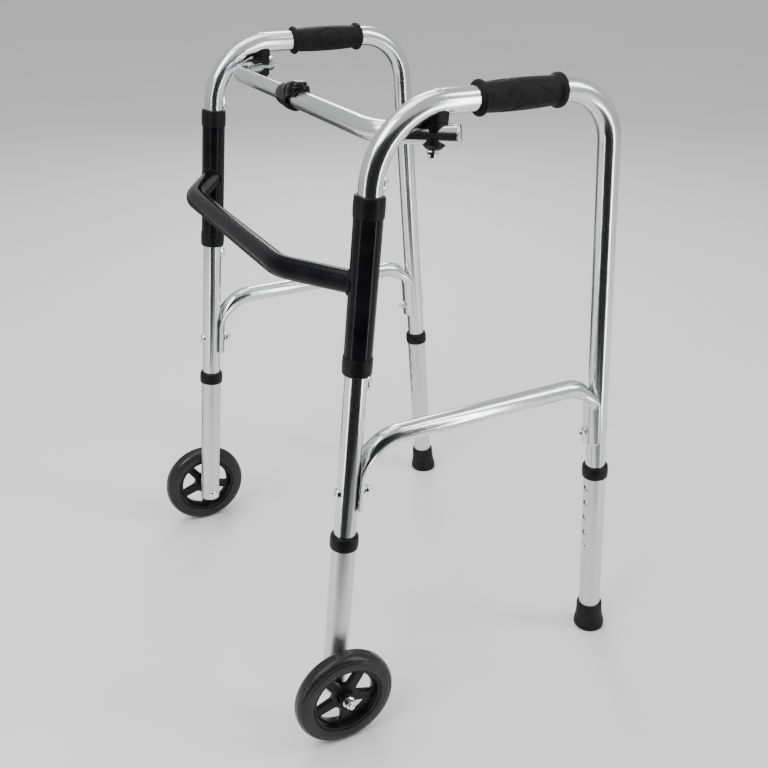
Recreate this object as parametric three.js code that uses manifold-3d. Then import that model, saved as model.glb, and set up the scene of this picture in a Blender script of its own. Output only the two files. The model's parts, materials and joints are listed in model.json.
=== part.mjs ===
// Folding walking frame with two front wheels, in millimetres, +Z up.
// The user stands between the side frames and faces -Y. Left is +X.
// The origin is on the floor, in the middle of the walker's box.
import * as THREE from "three";
import { mergeVertices } from "three/addons/utils/BufferGeometryUtils.js";
import Module from "manifold-3d";

const wasm = await Module();
wasm.setup();

// ---------- driving dimensions ----------

const GAP = 0.3; // between pieces that touch
const TUBE_SIDES = 16;
const BORE_SIDES = 8; // of a tube's inside where nothing slides in it
const BOLT_SIDES = 10;
const HOLE_SIDES = 8;

// Side frames
const FRAME_X = 242; // of each side frame's plane
const HANDLE_Z = 752; // axis of the top tube
const TUBE_R = 12.7;
const TUBE_WALL = 1.3;
const FRONT_LEAN = THREE.MathUtils.degToRad(5.15); // the front leg leans back
const REAR_LEAN = THREE.MathUtils.degToRad(4.22); // the rear leg leans forward
const FRONT_BEND_R = 84;
const REAR_BEND_R = 65;
const LEG_END_Z = 116; // the frame's own legs end here, inside the extensions

// Wheels and rear feet
const WHEEL_R = 63.5;
const WHEEL_WIDTH = 24;
const WHEEL_OUT = 29.7; // of the wheel's middle from the leg's axis
const WHEEL_SIDES = 24; // a multiple of 4, so a corner touches the floor
const WHEEL_BASE = 399; // from the axle to the rear foot
const AXLE_R = 4;
const TIP_FLOOR_R = 21;
const TIP_TOP_R = 17.5;
const TIP_HEIGHT = 41;
const TIP_SOLE = 6; // thickness of rubber under the leg

// Leg extensions, each with a row of height holes
const EXTENSION_R = 14.3;
const EXTENSION_BORE_R = 13;
const FRONT_EXTENSION = { bottom: 54.5, top: 272, button: 146, facing: 1 };
const REAR_EXTENSION = { bottom: 6.6, top: 266, button: 142, facing: -1 };
const HOLE_COUNT = 5;
const HOLE_PITCH = 24;
const HOLE_R = 4.5;
const COLLAR_HEIGHT = 17;
const COLLAR_ABOVE = 5; // of the extension's upper end
const COLLAR_R = 16.8;

// Front brace and the sleeves that the front legs turn in
const BRACE_Z = 576;
const BRACE_AHEAD = 10; // of the brace's middle stretch in front of the axle
const BRACE_CORNER_X = 150;
const BRACE_BEND_R = 60;
const SLEEVE_R = 15.5;
const SLEEVE_BORE_R = 14.2;
const SLEEVE_LOW_Z = 497;
const SLEEVE_HIGH_Z = 646;
const BUSH_R = 16.6;
const BUSH_BORE_R = 13.1;
const BUSH_SPIGOT_R = 13.8;
const BUSH_SPIGOT = 12;
const TOP_BUSH_HEIGHT = 22.5;
const LOW_BUSH_HEIGHT = 21;

// Side braces, low between the front and rear leg, with flattened ends
const SIDE_BRACE_Z = 391;
const SIDE_BRACE_R = 11;
const SIDE_BRACE_WALL = 1.2;
const SIDE_BRACE_FLAT = 3.2; // half the thickness of a flattened end
const SIDE_BRACE_WIDER = 1.38; // how much wider than the tube a flattened end is
const SIDE_BRACE_CURL_R = 14; // a flattened end curls round the leg
const SIDE_BRACE_END_Z = 306;
const SIDE_BRACE_FRONT_BEND_R = 48;
const SIDE_BRACE_REAR_BEND_R = 35;
const FRONT_BRACE_BOLT_Z = 331;
const REAR_BRACE_BOLT_Z = 326;

// Telescopic crossbar under the top tubes
const BAR_Z = 721.5;
const BAR_FROM_AXLE = 77; // its straight stretch lies this far behind the axle
const BAR_CORNER_X = 206;
const BAR_BEND_R = 50;
const BAR_OUTER_R = 11.1;
const BAR_OUTER_BORE_R = 9.9;
const BAR_INNER_R = 9.5;
const BAR_INNER_BORE_R = 8.3;
const BAR_PAST_PIVOT = 23;
const BAR_INSERTED = 88; // how far the inner tube reaches into the outer one
const BAR_JOINT_X = -4; // the outer tube's open end
const PIVOT_FROM_AXLE = 126.5;
const PIVOT_BOLT_R = 3;
const PIVOT_HOLE_R = 3.5;
const SADDLE_R = 11.5;
const SADDLE_SPLIT_Z = 734.2; // the frame's saddle and the crossbar's turn on each other here
const SADDLE_LOW_Z = 706.5; // the lower saddle's underside, where the dome nut sits
const SADDLE_OPEN = 5.5; // from the crossbar's axis to where its two saddles begin

// Grips
const GRIP_FRONT = 172; // from the axle
const GRIP_REAR = 279;
const GRIP_R = 16.8;
const GRIP_FLANGE_R = 18.5;

// Where things lie along Y: the box of wheels and rear feet is centred on the origin
const TIP_REACH = TIP_FLOOR_R / Math.cos(REAR_LEAN);
const AXLE_Y = (WHEEL_R - TIP_REACH - WHEEL_BASE) / 2;
const REAR_FOOT_Y = AXLE_Y + WHEEL_BASE;

// ---------- places on the legs ----------

const frontLegY = (z) => AXLE_Y + Math.tan(FRONT_LEAN) * (z - WHEEL_R);
const rearLegY = (z) => REAR_FOOT_Y - Math.tan(REAR_LEAN) * z;
const frontUp = new THREE.Vector3(0, Math.sin(FRONT_LEAN), Math.cos(FRONT_LEAN));
const rearUp = new THREE.Vector3(0, -Math.sin(REAR_LEAN), Math.cos(REAR_LEAN));
const AXLE_UP_LEG = WHEEL_R / Math.cos(FRONT_LEAN); // the axle's place along the front leg

// ---------- materials ----------

const paint = (color, roughness, metalness) =>
  new THREE.MeshStandardMaterial({ color, roughness, metalness });
const polishedAluminium = paint(0xd2d4d6, 0.22, 1);
const satinAluminium = paint(0xb9bcbf, 0.42, 1);
const chrome = paint(0xe2e4e6, 0.12, 1);
const blackCoat = paint(0x111214, 0.25, 0.2);
const blackPlastic = paint(0x16171a, 0.5, 0);
const glossPlastic = paint(0x0c0d0f, 0.18, 0);
const gripVinyl = paint(0x1b1b1d, 0.7, 0);
const tyreRubber = paint(0x23211f, 0.35, 0);
const tipRubber = paint(0x161617, 0.7, 0);
const springSteel = paint(0x9a9da1, 0.35, 1);

// ---------- shape helpers ----------

// A regular outline with its corners at the given radius.
function ringPoints(radius, sides) {
  const points = [];
  for (let i = 0; i < sides; i++) {
    const angle = (2 * Math.PI * i) / sides;
    points.push(new THREE.Vector2(radius * Math.cos(angle), radius * Math.sin(angle)));
  }
  return points;
}

function ringShape(radius, boreRadius, boreSides) {
  const shape = new THREE.Shape(ringPoints(radius, TUBE_SIDES));
  if (boreRadius) shape.holes.push(new THREE.Path(ringPoints(boreRadius, boreSides)));
  return shape;
}

// A route of straight stretches joined by arcs, whose only stations are the ones the shape needs.
class BentPath extends THREE.Curve {
  // corners: [{ at, bend }], where bend is the arc's radius, 0 or left out at the two ends
  constructor(corners, arcSteps) {
    super();
    this.points = [];
    this.tangents = [];
    corners.forEach(({ at, bend }, i) => {
      const before = i > 0 ? at.clone().sub(corners[i - 1].at).normalize() : null;
      const after = i < corners.length - 1 ? corners[i + 1].at.clone().sub(at).normalize() : null;
      if (!before || !after) {
        this.addStation(at, before || after);
        return;
      }
      if (!bend) {
        this.addStation(at, before);
        return;
      }
      const turn = before.angleTo(after);
      const start = at.clone().addScaledVector(before, -bend * Math.tan(turn / 2));
      const inward = after.clone().addScaledVector(before, -Math.cos(turn)).normalize();
      for (let k = 0; k <= arcSteps; k++) {
        const angle = (turn * k) / arcSteps;
        const point = start.clone().addScaledVector(before, bend * Math.sin(angle));
        point.addScaledVector(inward, bend * (1 - Math.cos(angle)));
        const tangent = before.clone().multiplyScalar(Math.cos(angle));
        this.addStation(point, tangent.addScaledVector(inward, Math.sin(angle)));
      }
    });
  }
  addStation(point, tangent) {
    this.points.push(point.clone());
    this.tangents.push(tangent.clone().normalize());
  }
  get steps() {
    return this.points.length - 1;
  }
  getPoint(u) {
    return this.points[Math.round(u * this.steps)].clone();
  }
  getPointAt(u) {
    return this.getPoint(u);
  }
  getTangentAt(u) {
    return this.tangents[Math.round(u * this.steps)].clone();
  }
}

function tubeAlong(path, radius, boreRadius = 0, boreSides = BORE_SIDES) {
  return new THREE.ExtrudeGeometry(ringShape(radius, boreRadius, boreSides), {
    steps: path.steps,
    extrudePath: path,
    bevelEnabled: false,
  });
}

// A turned piece about +Z. The outline is [radius, z] pairs, up the outside.
function turned(outline, sides = TUBE_SIDES) {
  const points = outline.map(([radius, z]) => new THREE.Vector2(radius, z));
  return new THREE.LatheGeometry(points, sides).rotateX(Math.PI / 2);
}

// The same about any axis: it stands on "from" and points along "direction".
function turnedAt(outline, from, direction, sides = TUBE_SIDES) {
  return stood(turned(outline, sides), from, direction);
}

function stood(geometry, from, direction) {
  const turn = new THREE.Quaternion().setFromUnitVectors(
    new THREE.Vector3(0, 0, 1),
    direction.clone().normalize(),
  );
  return geometry.applyQuaternion(turn).translate(from.x, from.y, from.z);
}

// A plain round bar from one point to another, mostly for drilling holes.
function rod(from, to, radius, sides = HOLE_SIDES) {
  const length = from.distanceTo(to);
  const outline = [[0, 0], [radius, 0], [radius, length], [0, length]];
  return turnedAt(outline, from, to.clone().sub(from), sides);
}

function toSolid(geometry) {
  const bare = geometry.index ? geometry.toNonIndexed() : geometry.clone();
  bare.deleteAttribute("normal");
  bare.deleteAttribute("uv");
  const merged = mergeVertices(bare, 1e-3);
  return new wasm.Manifold(
    new wasm.Mesh({
      numProp: 3,
      vertProperties: merged.attributes.position.array,
      triVerts: new Uint32Array(merged.index.array),
    }),
  );
}

function toGeometry(solid) {
  const mesh = solid.getMesh();
  const geometry = new THREE.BufferGeometry();
  geometry.setAttribute("position", new THREE.BufferAttribute(mesh.vertProperties, 3));
  geometry.setIndex(new THREE.BufferAttribute(mesh.triVerts, 1));
  const flat = geometry.toNonIndexed();
  flat.computeVertexNormals();
  return flat;
}

function joined(...geometries) {
  return toGeometry(geometries.map(toSolid).reduce((a, b) => a.add(b)));
}

function cut(geometry, ...tools) {
  return toGeometry(tools.map(toSolid).reduce((a, b) => a.subtract(b), toSolid(geometry)));
}

function piece(name, geometry, material, parent) {
  const mesh = new THREE.Mesh(geometry, material);
  mesh.name = name;
  parent.add(mesh);
  return mesh;
}

// ---------- side frame: one bent tube, an upside-down U ----------

function sideFramePath() {
  const legBottom = (y) => new THREE.Vector3(0, y(LEG_END_Z), LEG_END_Z);
  return new BentPath(
    [
      { at: legBottom(frontLegY) },
      { at: new THREE.Vector3(0, frontLegY(HANDLE_Z), HANDLE_Z), bend: FRONT_BEND_R },
      { at: new THREE.Vector3(0, rearLegY(HANDLE_Z), HANDLE_Z), bend: REAR_BEND_R },
      { at: legBottom(rearLegY) },
    ],
    5,
  );
}

// A hole across the leg in the frame's plane, through one wall or both.
function legHole(legY, z, lean, facing, radius, bothWalls) {
  const across = new THREE.Vector3(0, facing * Math.cos(lean), -facing * Math.sin(lean));
  const middle = new THREE.Vector3(0, legY(z), z);
  const reach = 2 * TUBE_R;
  const from = middle.clone().addScaledVector(across, bothWalls ? -reach : 0);
  return rod(from, middle.clone().addScaledVector(across, reach), radius);
}

// The snap button's hole. Its height is given along the leaning leg.
function buttonHole(legY, { button, facing }, lean) {
  return legHole(legY, button * Math.cos(lean), lean, facing, HOLE_R, false);
}

// Where the crossbar's pivot bolt crosses the crossbar, in the side frame's plane.
const pivotPoint = new THREE.Vector3(0, AXLE_Y + PIVOT_FROM_AXLE, BAR_Z);
const onPivot = (z) => {
  const up = (z - BAR_Z) / frontUp.z;
  return pivotPoint.clone().addScaledVector(frontUp, up);
};

function sideFrameGeometry() {
  const tube = tubeAlong(sideFramePath(), TUBE_R, TUBE_R - TUBE_WALL);
  return cut(
    tube,
    rod(onPivot(BAR_Z), onPivot(HANDLE_Z + 2 * TUBE_R), PIVOT_HOLE_R),
    buttonHole(frontLegY, FRONT_EXTENSION, FRONT_LEAN),
    buttonHole(rearLegY, REAR_EXTENSION, -REAR_LEAN),
    legHole(frontLegY, FRONT_BRACE_BOLT_Z, FRONT_LEAN, 1, PIVOT_HOLE_R, true),
    legHole(rearLegY, REAR_BRACE_BOLT_Z, -REAR_LEAN, 1, PIVOT_HOLE_R, true),
  );
}

// ---------- grip ----------

function gripGeometry() {
  const length = GRIP_REAR - GRIP_FRONT;
  const bore = TUBE_R + 2 * GAP;
  const flange = 5;
  const outline = [
    [bore, 0],
    [GRIP_FLANGE_R - 1.5, 0],
    [GRIP_FLANGE_R, 1.5],
    [GRIP_FLANGE_R, flange],
    [GRIP_R - 0.8, flange + 3],
    [GRIP_R, length / 2],
    [GRIP_R - 0.8, length - flange - 3],
    [GRIP_FLANGE_R, length - flange],
    [GRIP_FLANGE_R, length - 1.5],
    [GRIP_FLANGE_R - 1.5, length],
    [bore, length],
    [bore, 0],
  ];
  const from = new THREE.Vector3(0, AXLE_Y + GRIP_FRONT, HANDLE_Z);
  return turnedAt(outline, from, new THREE.Vector3(0, 1, 0));
}

// ---------- side brace: a bent tube whose ends are pressed flat and curl round the legs ----------

const BRACE_OFFSET = TUBE_R + GAP + SIDE_BRACE_FLAT; // flat end's middle from the leg's axis
const braceFrontY = (z) => frontLegY(z) + BRACE_OFFSET / Math.cos(FRONT_LEAN);
const braceRearY = (z) => rearLegY(z) - BRACE_OFFSET / Math.cos(REAR_LEAN);

const FLAT_INTO_BEND = 8; // how far up the bend the flat reaches
const ROUND_BELOW_TOP = 4; // how far below the straight part the tube is fully round

// How round the tube is at a height: 0 where it is pressed flat, 1 where it is a full tube.
function roundness(z, bendRadius) {
  const flatBelow = SIDE_BRACE_Z - bendRadius + FLAT_INTO_BEND;
  return THREE.MathUtils.smoothstep(z, flatBelow, SIDE_BRACE_Z - ROUND_BELOW_TOP);
}

function pressEndsFlat(geometry, path) {
  const position = geometry.attributes.position;
  const middleY = (braceFrontY(SIDE_BRACE_Z) + braceRearY(SIDE_BRACE_Z)) / 2;
  const vertex = new THREE.Vector3();
  for (let i = 0; i < position.count; i++) {
    vertex.fromBufferAttribute(position, i);
    const station = path.points.findIndex((centre, k) => {
      const out = vertex.clone().sub(centre);
      return out.length() < 2 * SIDE_BRACE_R && Math.abs(out.dot(path.tangents[k])) < 1e-3;
    });
    const centre = path.points[station];
    const isFront = centre.y < middleY;
    const bend = isFront ? SIDE_BRACE_FRONT_BEND_R : SIDE_BRACE_REAR_BEND_R;
    const round = roundness(centre.z, bend);
    const thin = THREE.MathUtils.lerp(SIDE_BRACE_FLAT / SIDE_BRACE_R, 1, round);
    const wide = THREE.MathUtils.lerp(SIDE_BRACE_WIDER, 1, round);
    const out = vertex.clone().sub(centre);
    out.set(out.x * wide, out.y * thin, out.z * thin);
    const curl = ((1 - round) * out.x ** 2) / (2 * SIDE_BRACE_CURL_R);
    const y = centre.y + out.y + (isFront ? -curl : curl);
    position.setXYZ(i, centre.x + out.x, y, centre.z + out.z);
  }
  return geometry;
}

function sideBraceGeometry() {
  const at = (y, z) => new THREE.Vector3(0, y(z), z);
  const corner = SIDE_BRACE_Z;
  const path = new BentPath(
    [
      { at: at(braceFrontY, SIDE_BRACE_END_Z) },
      { at: at(braceFrontY, corner), bend: SIDE_BRACE_FRONT_BEND_R },
      { at: at(braceRearY, corner), bend: SIDE_BRACE_REAR_BEND_R },
      { at: at(braceRearY, SIDE_BRACE_END_Z) },
    ],
    5,
  );
  const tube = tubeAlong(path, SIDE_BRACE_R, SIDE_BRACE_R - SIDE_BRACE_WALL);
  return cut(
    pressEndsFlat(tube, path),
    legHole(frontLegY, FRONT_BRACE_BOLT_Z, FRONT_LEAN, 1, PIVOT_HOLE_R, true),
    legHole(rearLegY, REAR_BRACE_BOLT_Z, -REAR_LEAN, 1, PIVOT_HOLE_R, true),
  );
}

// A bolt through the leg and the brace's flat end, with its dome nut run on to it.
// "facing" is the way along Y from the leg to the brace, where the nut is.
function braceBoltGeometry(legY, z, lean, facing) {
  const headR = 7;
  const across = new THREE.Vector3(0, facing * Math.cos(lean), -facing * Math.sin(lean));
  const seat = TUBE_R + GAP;
  const nutSeat = BRACE_OFFSET + SIDE_BRACE_FLAT + GAP;
  const outline = [
    [0, -seat - 4],
    [headR - 3, -seat - 3.4],
    [headR, -seat - 1],
    [headR, -seat],
    [PIVOT_BOLT_R, -seat],
    [PIVOT_BOLT_R, nutSeat],
    [headR - 0.5, nutSeat],
    [headR - 0.5, nutSeat + 4.5],
    [headR - 2.6, nutSeat + 6.5],
    [0, nutSeat + 7.5],
  ];
  return turnedAt(outline, new THREE.Vector3(0, legY(z), z), across, BOLT_SIDES);
}

// ---------- leg extension, collar, snap button and its leaf spring ----------
// All of these are made in the leg's own frame: +Z up the leg from the floor.

function extensionGeometry({ bottom, top, button, facing }, axleHole) {
  const route = new BentPath(
    [{ at: new THREE.Vector3(0, 0, bottom) }, { at: new THREE.Vector3(0, 0, top) }],
    1,
  );
  const tube = tubeAlong(route, EXTENSION_R, EXTENSION_BORE_R, TUBE_SIDES);
  const holes = [];
  for (let i = 0; i < HOLE_COUNT; i++) {
    const z = button + i * HOLE_PITCH;
    const from = new THREE.Vector3(0, 0, z);
    holes.push(rod(from, new THREE.Vector3(0, facing * 2 * EXTENSION_R, z), HOLE_R));
  }
  if (axleHole) {
    const reach = 2 * EXTENSION_R;
    const axle = (x) => new THREE.Vector3(x, 0, AXLE_UP_LEG);
    holes.push(rod(axle(-reach), axle(reach), AXLE_R + 0.5));
  }
  return cut(tube, ...holes);
}

// The collar caps the extension's upper end and closes on the frame's leg.
function collarGeometry(top) {
  const over = EXTENSION_R + GAP;
  const lip = TUBE_R + 2 * GAP;
  const high = top + COLLAR_ABOVE;
  const low = high - COLLAR_HEIGHT;
  return turned([
    [over, low],
    [COLLAR_R, low],
    [COLLAR_R - 1.2, high - 1.5],
    [COLLAR_R - 2.4, high],
    [lip, high],
    [lip, top + GAP],
    [over, top + GAP],
    [over, low],
  ]);
}

const BUTTON_R = 4; // the snap button
const BUTTON_BACK = 8.5; // its inner end from the leg's axis
const BUTTON_FRONT = 16.8;

function snapButton(facing, z) {
  const outline = [
    [0, BUTTON_BACK],
    [BUTTON_R, BUTTON_BACK],
    [BUTTON_R, BUTTON_FRONT - 1.6],
    [BUTTON_R - 1.4, BUTTON_FRONT - 0.4],
    [0, BUTTON_FRONT],
  ];
  const from = new THREE.Vector3(0, 0, z);
  return turnedAt(outline, from, new THREE.Vector3(0, facing, 0), BOLT_SIDES);
}

// A leaf folded into a narrow V: one arm carries the button, the other rests on the far wall.
function leafSpring(facing, z) {
  const leaf = 0.8;
  const arm = BUTTON_BACK - GAP;
  const far = -(TUBE_R - TUBE_WALL - 1.5);
  const low = z - 8;
  const fold = z + 42;
  const outline = [
    [arm, low],
    [arm, z + 10],
    [1.6, fold - 1],
    [0, fold],
    [-1.6, fold - 1],
    [far, z + 4],
    [far, low],
    [far + leaf, low],
    [far + leaf, z + 4],
    [0, fold - 3],
    [arm - leaf, z + 10],
    [arm - leaf, low],
  ];
  const shape = new THREE.Shape(outline.map(([y, up]) => new THREE.Vector2(facing * y, up)));
  const width = 7;
  const strip = new THREE.ExtrudeGeometry(shape, { depth: width, bevelEnabled: false });
  // the shape's x becomes Y, its y becomes Z and its depth becomes X
  const swap = new THREE.Matrix4().makeBasis(
    new THREE.Vector3(0, 1, 0),
    new THREE.Vector3(0, 0, 1),
    new THREE.Vector3(1, 0, 0),
  );
  return strip.translate(0, 0, -width / 2).applyMatrix4(swap);
}

// ---------- rear tip: a rubber cup, flat where it meets the floor ----------

function rearTipGeometry() {
  const bore = EXTENSION_R + GAP;
  const outline = [
    [0, -4],
    [TIP_FLOOR_R, -4],
    [TIP_FLOOR_R, 8],
    [TIP_TOP_R + 0.8, 17],
    [TIP_TOP_R, TIP_HEIGHT - 2],
    [TIP_TOP_R - 1, TIP_HEIGHT],
    [bore, TIP_HEIGHT],
    [bore, TIP_SOLE],
    [0, TIP_SOLE],
  ];
  const foot = new THREE.Vector3(0, REAR_FOOT_Y, 0);
  const cup = turnedAt(outline, foot, rearUp, 20);
  const underFloor = new THREE.BoxGeometry(80, 80, 40).translate(0, REAR_FOOT_Y, -20);
  return cut(cup, underFloor);
}

// ---------- wheel, with its axle along X ----------

const RIM_R = 45;
const HUB_HALF = 10.5;
const BOSS_HALF = 12;
const BOSS_SIDES = 12;

// One of the hub's windows, a wedge between two spokes.
function hubWindow(middle, halfAngle) {
  const window = new THREE.Path();
  window.absarc(0, 0, 37.5, middle - halfAngle, middle + halfAngle, false);
  window.absarc(0, 0, 17.5, middle + halfAngle * 0.62, middle - halfAngle * 0.62, true);
  return window;
}

function hubGeometry() {
  const spokes = 5;
  const webHalf = 4;
  const plate = new THREE.Shape(ringPoints(RIM_R - 3, WHEEL_SIDES));
  for (let i = 0; i < spokes; i++) {
    plate.holes.push(hubWindow((2 * Math.PI * (i + 0.5)) / spokes, 0.47));
  }
  const web = new THREE.ExtrudeGeometry(plate, {
    depth: 2 * webHalf,
    bevelEnabled: false,
    curveSegments: 3,
  }).translate(0, 0, -webHalf);
  const rim = turned(
    [
      [RIM_R - 5, -HUB_HALF],
      [RIM_R, -HUB_HALF],
      [RIM_R, HUB_HALF],
      [RIM_R - 5, HUB_HALF],
      [RIM_R - 7, 0],
      [RIM_R - 5, -HUB_HALF],
    ],
    WHEEL_SIDES,
  );
  const bossR = 11;
  const boss = turned(
    [[0, -BOSS_HALF], [bossR, -BOSS_HALF], [bossR, BOSS_HALF], [0, BOSS_HALF]],
    BOSS_SIDES,
  );
  const past = new THREE.Vector3(0, 0, 2 * BOSS_HALF);
  const hub = cut(joined(web, rim, boss), rod(past.clone().negate(), past, AXLE_R + 0.5));
  return hub.rotateY(Math.PI / 2);
}

function tyreGeometry() {
  const bore = RIM_R + GAP;
  const half = WHEEL_WIDTH / 2;
  const tyre = turned(
    [
      [bore, -half + 0.5],
      [WHEEL_R - 7, -half],
      [WHEEL_R - 2, -half + 3.5],
      [WHEEL_R, -half + 8],
      [WHEEL_R, half - 8],
      [WHEEL_R - 2, half - 3.5],
      [WHEEL_R - 7, half],
      [bore, half - 0.5],
      [bore, -half + 0.5],
    ],
    WHEEL_SIDES,
  );
  return tyre.rotateY(Math.PI / 2);
}

// Distances out from the leg's axis along the axle.
const SPACER_FROM = EXTENSION_R + GAP;
const SPACER_TO = WHEEL_OUT - BOSS_HALF - GAP;
const NUT_FROM = WHEEL_OUT + BOSS_HALF + GAP;
const NUT_R = 7; // at its corners
const WASHER_R = 8.6;

function axleBoltGeometry() {
  const head = -EXTENSION_R - GAP;
  return turned(
    [
      [0, head - 4.5],
      [4, head - 4],
      [7.5, head - 1.5],
      [7.5, head],
      [AXLE_R, head],
      [AXLE_R, NUT_FROM + 10],
      [AXLE_R - 1, NUT_FROM + 11],
      [0, NUT_FROM + 11],
    ],
    BOLT_SIDES,
  );
}

function axleSpacerGeometry() {
  const bore = AXLE_R + 0.4;
  return turned(
    [[bore, SPACER_FROM], [8, SPACER_FROM], [8, SPACER_TO], [bore, SPACER_TO], [bore, SPACER_FROM]],
    BOLT_SIDES,
  );
}

// A six-sided nut on a round washer face.
function axleNutGeometry() {
  const washer = 1.6;
  const outer = NUT_FROM + washer + 6.5;
  const disc = (radius, sides, from, to) =>
    turned([[0, from], [radius, from], [radius, to], [0, to]], sides);
  const face = disc(WASHER_R, BOSS_SIDES, NUT_FROM, NUT_FROM + washer);
  const body = joined(face, disc(NUT_R, 6, NUT_FROM + 1, outer));
  const bore = rod(
    new THREE.Vector3(0, 0, NUT_FROM - 1),
    new THREE.Vector3(0, 0, outer + 1),
    AXLE_R + 0.4,
  );
  return cut(body, bore);
}

// ---------- front brace: a bent tube welded to two upright sleeves ----------

function sleeveBar(side, radius, from, to) {
  const at = (z) => new THREE.Vector3(side * FRAME_X, frontLegY(z), z);
  return rod(at(from), at(to), radius, TUBE_SIDES);
}

function bracePath(reach) {
  const middleY = AXLE_Y - BRACE_AHEAD;
  const end = (side) => new THREE.Vector3(side * reach, frontLegY(BRACE_Z), BRACE_Z);
  const corner = (side) => new THREE.Vector3(side * BRACE_CORNER_X, middleY, BRACE_Z);
  return new BentPath(
    [
      { at: end(-1) },
      { at: corner(-1), bend: BRACE_BEND_R },
      { at: corner(1), bend: BRACE_BEND_R },
      { at: end(1) },
    ],
    3,
  );
}

function frontBraceGeometry() {
  const outside = joined(
    tubeAlong(bracePath(FRAME_X), TUBE_R),
    sleeveBar(-1, SLEEVE_R, SLEEVE_LOW_Z, SLEEVE_HIGH_Z),
    sleeveBar(1, SLEEVE_R, SLEEVE_LOW_Z, SLEEVE_HIGH_Z),
  );
  return cut(
    outside,
    tubeAlong(bracePath(FRAME_X), TUBE_R - TUBE_WALL),
    sleeveBar(-1, SLEEVE_BORE_R, SLEEVE_LOW_Z - 1, SLEEVE_HIGH_Z + 1),
    sleeveBar(1, SLEEVE_BORE_R, SLEEVE_LOW_Z - 1, SLEEVE_HIGH_Z + 1),
  );
}

// A flanged bush: its spigot fills the sleeve's end and its flange shows.
// It is turned in the leg's frame, with the sleeve's end at z = 0 and the flange above it.
function bushGeometry(height) {
  return turned([
    [BUSH_BORE_R, -BUSH_SPIGOT],
    [BUSH_SPIGOT_R, -BUSH_SPIGOT],
    [BUSH_SPIGOT_R, GAP],
    [BUSH_R, GAP],
    [BUSH_R, height - 1.5],
    [BUSH_R - 1.5, height],
    [BUSH_BORE_R, height],
    [BUSH_BORE_R, -BUSH_SPIGOT],
  ]);
}

// ---------- crossbar ----------

const BAR_Y = AXLE_Y + BAR_FROM_AXLE;
const barCorner = (side) => new THREE.Vector3(side * BAR_CORNER_X, BAR_Y, BAR_Z);
const barPivot = (side) => new THREE.Vector3(side * FRAME_X, pivotPoint.y, BAR_Z);
const barOutward = (side) => barPivot(side).sub(barCorner(side)).normalize();
const barEnd = (side) => barPivot(side).addScaledVector(barOutward(side), BAR_PAST_PIVOT);

// One half of the crossbar, from its free end near the middle to its pivoted end.
function barPath(side, freeX) {
  return new BentPath(
    [
      { at: new THREE.Vector3(freeX, BAR_Y, BAR_Z) },
      { at: barCorner(side), bend: BAR_BEND_R },
      { at: barEnd(side) },
    ],
    4,
  );
}

function pivotRod(side, lowZ, highZ, radius) {
  const at = (z) => onPivot(z).setX(side * FRAME_X);
  return rod(at(lowZ), at(highZ), radius);
}

function barGeometry(side, freeX, radius, boreRadius) {
  const boreSides = side > 0 ? TUBE_SIDES : BORE_SIDES;
  const tube = tubeAlong(barPath(side, freeX), radius, boreRadius, boreSides);
  return cut(tube, pivotRod(side, BAR_Z - 30, BAR_Z + 30, PIVOT_HOLE_R));
}

// A round block about the pivot bolt between two heights, made to fit round a tube.
function saddleGeometry(side, lowZ, highZ, tube) {
  const at = (z) => onPivot(z).setX(side * FRAME_X);
  const block = rod(at(lowZ), at(highZ), SADDLE_R, BOSS_SIDES);
  return cut(block, tube, pivotRod(side, lowZ - 2, highZ + 2, PIVOT_BOLT_R + 0.4));
}

function frameSaddleGeometry(side) {
  const around = tubeAlong(sideFramePath(), TUBE_R + GAP).translate(side * FRAME_X, 0, 0);
  return saddleGeometry(side, SADDLE_SPLIT_Z + GAP / 2, HANDLE_Z - 8, around);
}

function barSaddleGeometry(side, barRadius) {
  const around = tubeAlong(barPath(side, 0), barRadius + GAP);
  return saddleGeometry(side, BAR_Z + SADDLE_OPEN, SADDLE_SPLIT_Z - GAP / 2, around);
}

function lowerSaddleGeometry(side, barRadius) {
  const around = tubeAlong(barPath(side, 0), barRadius + GAP);
  return saddleGeometry(side, SADDLE_LOW_Z, BAR_Z - SADDLE_OPEN, around);
}

const PIVOT_TAIL = 6; // of the bolt below the lower saddle
const PIVOT_NUT_HEIGHT = 11.6;

function pivotBoltGeometry(side) {
  const at = (z) => onPivot(z).setX(side * FRAME_X);
  const headR = 6.5;
  const tailZ = SADDLE_LOW_Z - PIVOT_TAIL;
  const length = HANDLE_Z + 10 - tailZ;
  const outline = [
    [0, 0],
    [PIVOT_BOLT_R, 0],
    [PIVOT_BOLT_R, length - 3],
    [headR, length - 3],
    [headR, length + 2.4],
    [headR - 1.5, length + 3.3],
    [0, length + 3.6],
  ];
  const bolt = turnedAt(outline, at(tailZ), frontUp, BOLT_SIDES);
  const around = tubeAlong(sideFramePath(), TUBE_R + GAP).translate(side * FRAME_X, 0, 0);
  const shank = pivotRod(side, tailZ, HANDLE_Z + 14, PIVOT_BOLT_R);
  return joined(cut(bolt, around), shank);
}

// A closed dome nut on the bolt's lower end.
function pivotNutGeometry(side) {
  const top = onPivot(SADDLE_LOW_Z - GAP).setX(side * FRAME_X);
  const bore = PIVOT_BOLT_R + 0.4;
  const outline = [
    [0, 6.6],
    [bore, 6.6],
    [bore, 0],
    [6.4, 0],
    [6.4, 4.5],
    [5, 8],
    [2.6, PIVOT_NUT_HEIGHT - 0.5],
    [0, PIVOT_NUT_HEIGHT],
  ];
  return turnedAt(outline, top, frontUp.clone().negate(), BOLT_SIDES);
}

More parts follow.
